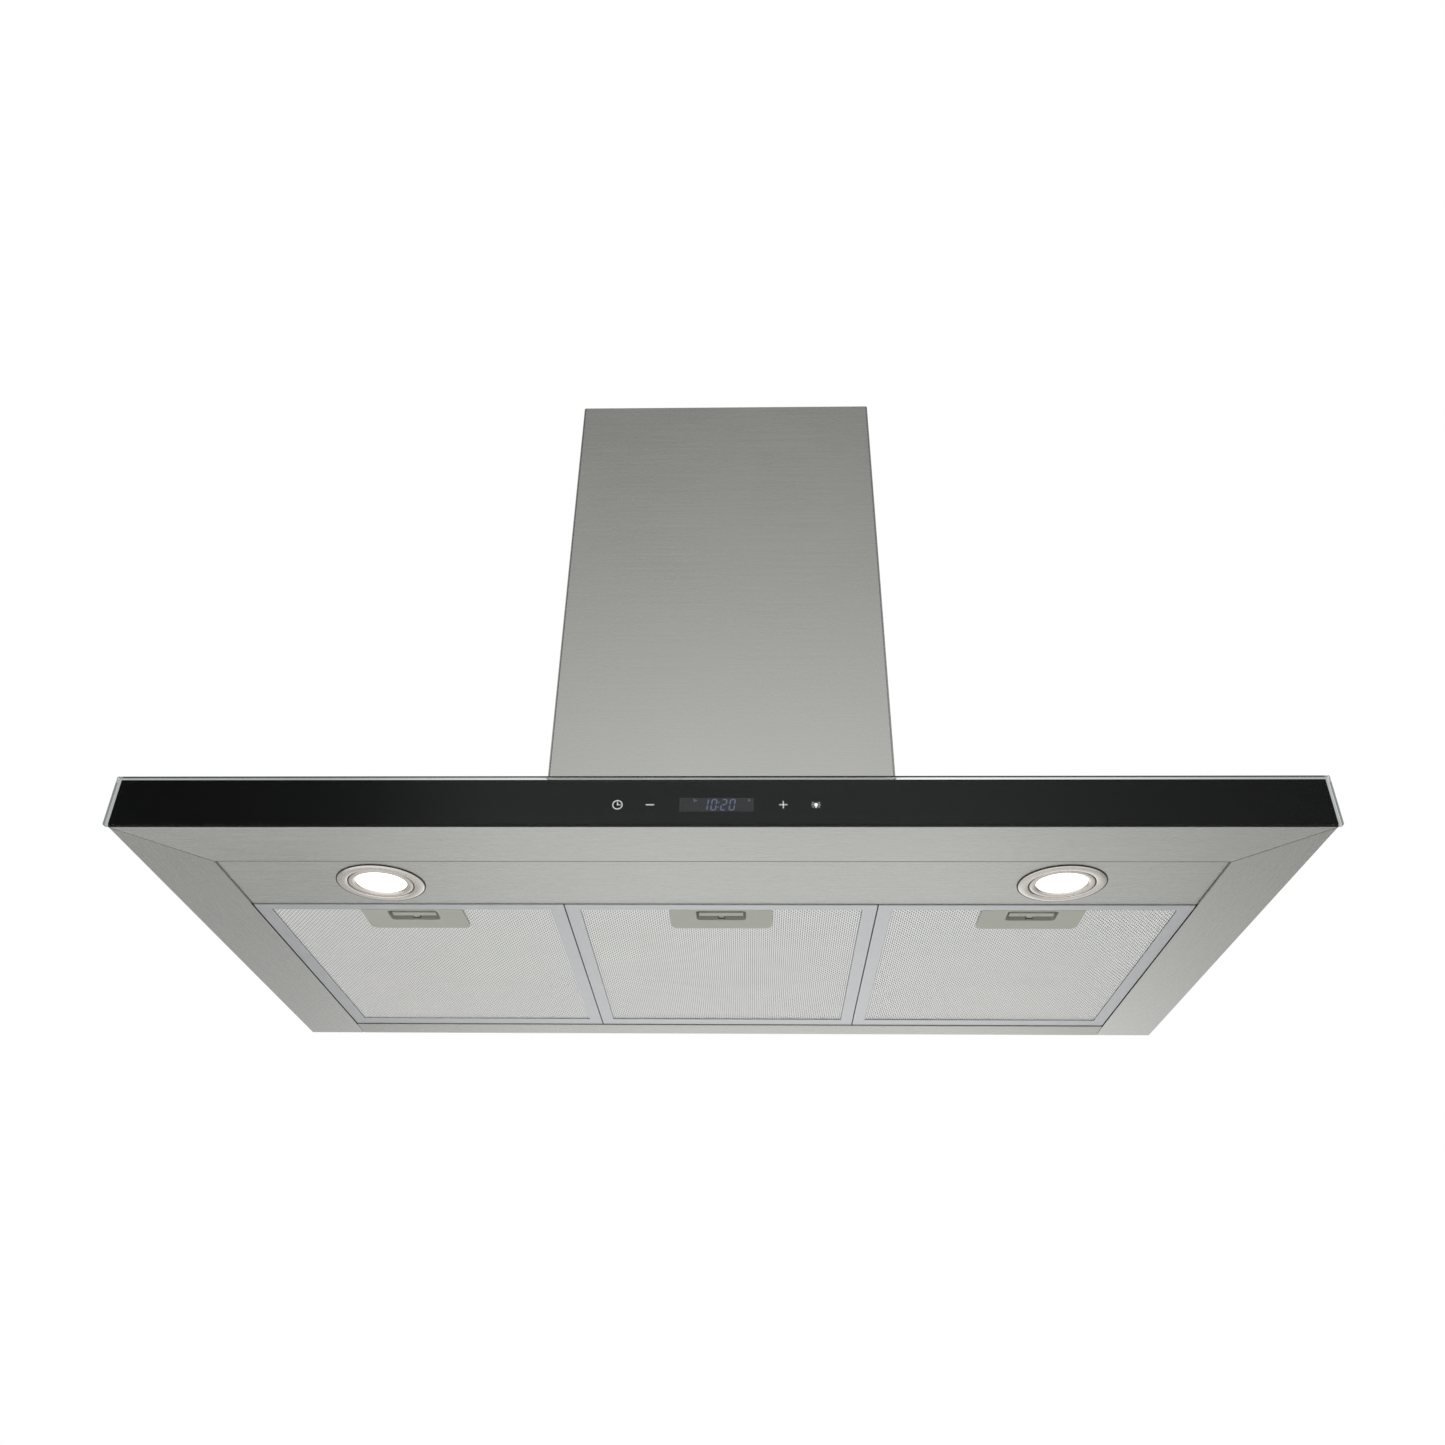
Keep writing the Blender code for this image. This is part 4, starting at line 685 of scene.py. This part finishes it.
def rolled_aluminium(name, dark, light, gloss, grain, metal=1.0):
    """Aluminium with fine rolling lines; grain is how many steps a metre holds on each axis."""
    material, tree, shader, place = new_material(name)
    shader.inputs["Metallic"].default_value = metal
    stretched = node(tree, "ShaderNodeMapping", {"Vector": place}, {"Scale": grain})
    lines = node(tree, "ShaderNodeTexNoise", {"Vector": stretched.outputs["Vector"]},
                 {"Scale": 1.0, "Detail": 4.0, "Roughness": 0.7})
    tree.links.new(two_tone(tree, lines.outputs["Fac"], dark, light), shader.inputs["Base Color"])
    sheen = node(tree, "ShaderNodeMapRange", {"Value": lines.outputs["Fac"]},
                 {"To Min": gloss - 0.06, "To Max": gloss + 0.06})
    tree.links.new(sheen.outputs["Result"], shader.inputs["Roughness"])
    relief = node(tree, "ShaderNodeBump", {"Height": lines.outputs["Fac"]},
                  {"Strength": 0.1, "Distance": 0.0003})
    tree.links.new(relief.outputs["Normal"], shader.inputs["Normal"])
    return material


anodised = rolled_aluminium("satin_anodised_aluminium", "C2C5C7", "D4D6D8", 0.36, (60, 60, 900))
# Lit and shaded copies of the same mesh aluminium: near-white painted sheen on the outer mesh, darker
# grey painted shade on the layers behind it.
outer_mesh_painted_sheen = rolled_aluminium("expanded_aluminium_painted_sheen", "F8F8F7", "FCFCFB", 0.32,
                             (400, 400, 400), metal=0.15)
inner_mesh_painted_shade = rolled_aluminium("shaded_inner_mesh", "7C7D7E", "A6A7A8", 0.5,
                              (600, 900, 600), metal=0.1)
olive_plastic = moulded("olive_grey_moulded_plastic", "AAACA1", "B0B2A7", 0.48, 0.0005)
for side in ("left", "centre", "right"):
    body = f"filter_{side}"
    rim = cad_copy(f"filter_frame_{side}", f"filter_rim_{side}", RIM_EDGE)
    settle(rim, anodised, body, "filter_aluminium", f"filter_frame_{side}")
    rim_low, rim_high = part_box(f"filter_frame_{side}")
    plate_low, plate_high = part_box(f"filter_mesh_{side}")
    grip_low, grip_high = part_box(f"filter_handle_{side}")
    mesh_low = (rim_low.x + MESH_MARGIN - MESH_TUCK, rim_low.y + MESH_FRONT_MARGIN - MESH_TUCK)
    mesh_high = (rim_high.x - MESH_MARGIN + MESH_TUCK, plate_high.y - MESH_REAR_MARGIN + MESH_REAR_TUCK)
    outer = lattice(f"filter_face_mesh_{side}", mesh_low, mesh_high, plate_low.z)
    pick(outer, "VERT", lambda corner: grip_low.x + HANDLE_CUT < corner.co.x < grip_high.x - HANDLE_CUT
         and corner.co.y < grip_high.y - HANDLE_CUT)
    bpy.ops.mesh.delete(type="VERT")
    bpy.ops.object.mode_set(mode="OBJECT")
    settle(outer, outer_mesh_painted_sheen, body, "filter_mesh", f"filter_mesh_{side}")
    pack = cad_copy(f"filter_mesh_{side}", f"filter_inner_mesh_{side}", INNER_EDGE)
    for corner in pack.data.vertices:
        if corner.co.z < (plate_low.z + plate_high.z) / 2:
            corner.co.z += STRAND_THICKNESS + INNER_GAP
    settle(pack, inner_mesh_painted_shade, body, "filter_mesh")
    handle = cad_copy(f"filter_handle_{side}", f"filter_grip_{side}", HANDLE_EDGE)
    settle(handle, olive_plastic, body, "grey_plastic", f"filter_handle_{side}")
    latch = cad_copy(f"filter_latch_{side}", f"filter_catch_{side}", LATCH_EDGE)
    settle(latch, olive_plastic, f"latch_{side}", "grey_plastic", f"filter_latch_{side}")


# ---------------------------------------------------------------- floor, light and camera
# Pale studio floor well below the hood, a sky in light and dark bands that the steel reflects
# and that is plain white to the camera, and one broad overhead panel. The camera stands
# below the front edge and looks up at the filters.
FLOOR_Z = -1.45
FLOOR_SIZE = 4.8
SKY_PEAK = 1.5              # brightest part of the sky
PANEL_SIZE = 2.5
PANEL_POWER = 174
PANEL_PLACE = (-1.2, -1.8, 2.2)
PANEL_TARGET = Vector((0, 0, 0.2))
CAMERA_PLACE = (0.02456, -1.03945, -0.39320)
PITCH, YAW, ROLL = (math.radians(angle) for angle in (32.959, -1.532, 0.683))
SENSOR_WIDTH = 36
LENS_LENGTH = 30.166
LENS_SHIFT = -0.02491

bpy.ops.object.select_all(action="DESELECT")
bpy.ops.mesh.primitive_circle_add(vertices=64, radius=FLOOR_SIZE / 2, fill_type="NGON",
                                  location=(0, 0, FLOOR_Z))
floor = bpy.context.object
floor.name = "studio_floor"
floor.data.materials.append(moulded("pale_studio_floor", "E6E6E4", "ECECEA", 0.8, 0.01))

world = bpy.data.worlds.new("soft_studio")
bpy.context.scene.world = world
world.use_nodes = True
sky = world.node_tree
sky.nodes.clear()


def ramp(factor, stops):
    """Grey values against a 0 to 1 factor."""
    made = node(sky, "ShaderNodeValToRGB", {"Fac": factor})
    while len(made.color_ramp.elements) > 1:
        made.color_ramp.elements.remove(made.color_ramp.elements[-1])
    made.color_ramp.elements[0].position = stops[0][0]
    made.color_ramp.elements[0].color = (stops[0][1] / SKY_PEAK,) * 3 + (1,)
    for position, value in stops[1:]:
        made.color_ramp.elements.new(position).color = (value / SKY_PEAK,) * 3 + (1,)
    return made.outputs["Color"]


def part_of(direction, axis, reach):
    """0 to 1 factor as the direction's part along an axis goes from -reach to reach."""
    made = node(sky, "ShaderNodeMapRange", {"Value": direction.outputs[axis]},
                {"From Min": -reach, "From Max": reach})
    return made.outputs["Result"]


view = node(sky, "ShaderNodeSeparateXYZ",
            {"Vector": node(sky, "ShaderNodeTexCoord").outputs["Generated"]})
height = part_of(view, "Z", 1.0)
behind = part_of(view, "Y", 0.25)
sideways = part_of(view, "X", 1.0)
front_light = ramp(height, [(0.0, 0.60), (0.40, 0.80), (0.55, 1.2), (0.66, 1.25), (0.71, 1.07),
                            (0.75, 0.88), (0.80, 0.42), (0.86, 0.16), (0.91, 0.12), (1.0, 0.55)])
rear_light = ramp(height, [(0.0, 0.45), (0.22, 0.42), (0.28, 0.61), (0.32, 0.79), (0.37, 1.02),
                           (0.45, 1.15), (1.0, 0.8)])
front_sides = ramp(sideways, [(0.0, 0.75), (0.20, 0.60), (0.265, 0.12), (0.35, 0.30), (0.40, 1.02),
                              (0.44, 0.91), (0.465, 0.99), (0.5, 1.0), (0.58, 0.97), (0.65, 0.58),
                              (0.735, 0.28), (0.80, 0.60), (1.0, 0.75)])
rear_sides = ramp(sideways, [(0.0, 0.40), (0.27, 0.55), (0.33, 0.54), (0.40, 0.93), (0.46, 1.12),
                             (0.5, 1.14), (0.58, 1.18), (0.65, 0.84), (0.69, 0.62), (0.74, 0.52),
                             (0.80, 0.36), (1.0, 0.3)])
halves = []
for by_height, by_side in ((front_light, front_sides), (rear_light, rear_sides)):
    half = node(sky, "ShaderNodeMix", data_type="RGBA", blend_type="MULTIPLY")
    half.inputs["Factor"].default_value = 1.0
    sky.links.new(by_height, half.inputs["A"])
    sky.links.new(by_side, half.inputs["B"])
    halves.append(half.outputs["Result"])
both = node(sky, "ShaderNodeMix", {"Factor": behind}, data_type="RGBA")
sky.links.new(halves[0], both.inputs["A"])
sky.links.new(halves[1], both.inputs["B"])
lit_sky = node(sky, "ShaderNodeBackground", {"Color": both.outputs["Result"]},
               {"Strength": SKY_PEAK * SKY_PEAK})
white_sky = node(sky, "ShaderNodeBackground", inputs={"Color": (1, 1, 1, 1), "Strength": 1.0})
path = node(sky, "ShaderNodeLightPath")
chosen = node(sky, "ShaderNodeMixShader",
              {0: path.outputs["Is Camera Ray"], 1: lit_sky.outputs[0], 2: white_sky.outputs[0]})
node(sky, "ShaderNodeOutputWorld", {"Surface": chosen.outputs[0]})

key = bpy.data.objects.new("overhead_panel", bpy.data.lights.new("overhead_panel", "AREA"))
key.data.size = PANEL_SIZE
key.data.energy = PANEL_POWER
key.location = PANEL_PLACE
key.rotation_euler = (PANEL_TARGET - key.location).to_track_quat("-Z", "Y").to_euler()
key.visible_glossy = False
key.visible_transmission = False
bpy.context.scene.collection.objects.link(key)

forward = Vector((math.sin(YAW) * math.cos(PITCH), math.cos(YAW) * math.cos(PITCH), math.sin(PITCH)))
right = Vector((math.cos(YAW), -math.sin(YAW), 0))
up = right.cross(forward)
camera = bpy.data.objects.new("camera", bpy.data.cameras.new("camera"))
camera.data.sensor_width = SENSOR_WIDTH
camera.data.lens = LENS_LENGTH
camera.data.shift_y = LENS_SHIFT
camera.data.clip_start = 0.05
rolled_right = right * math.cos(ROLL) + up * math.sin(ROLL)
rolled_up = up * math.cos(ROLL) - right * math.sin(ROLL)
aim = Matrix((rolled_right, rolled_up, -forward)).transposed().to_4x4()
camera.matrix_world = Matrix.Translation(CAMERA_PLACE) @ aim
bpy.context.scene.collection.objects.link(camera)
bpy.context.scene.camera = camera
bpy.context.scene.view_settings.view_transform = "Standard"
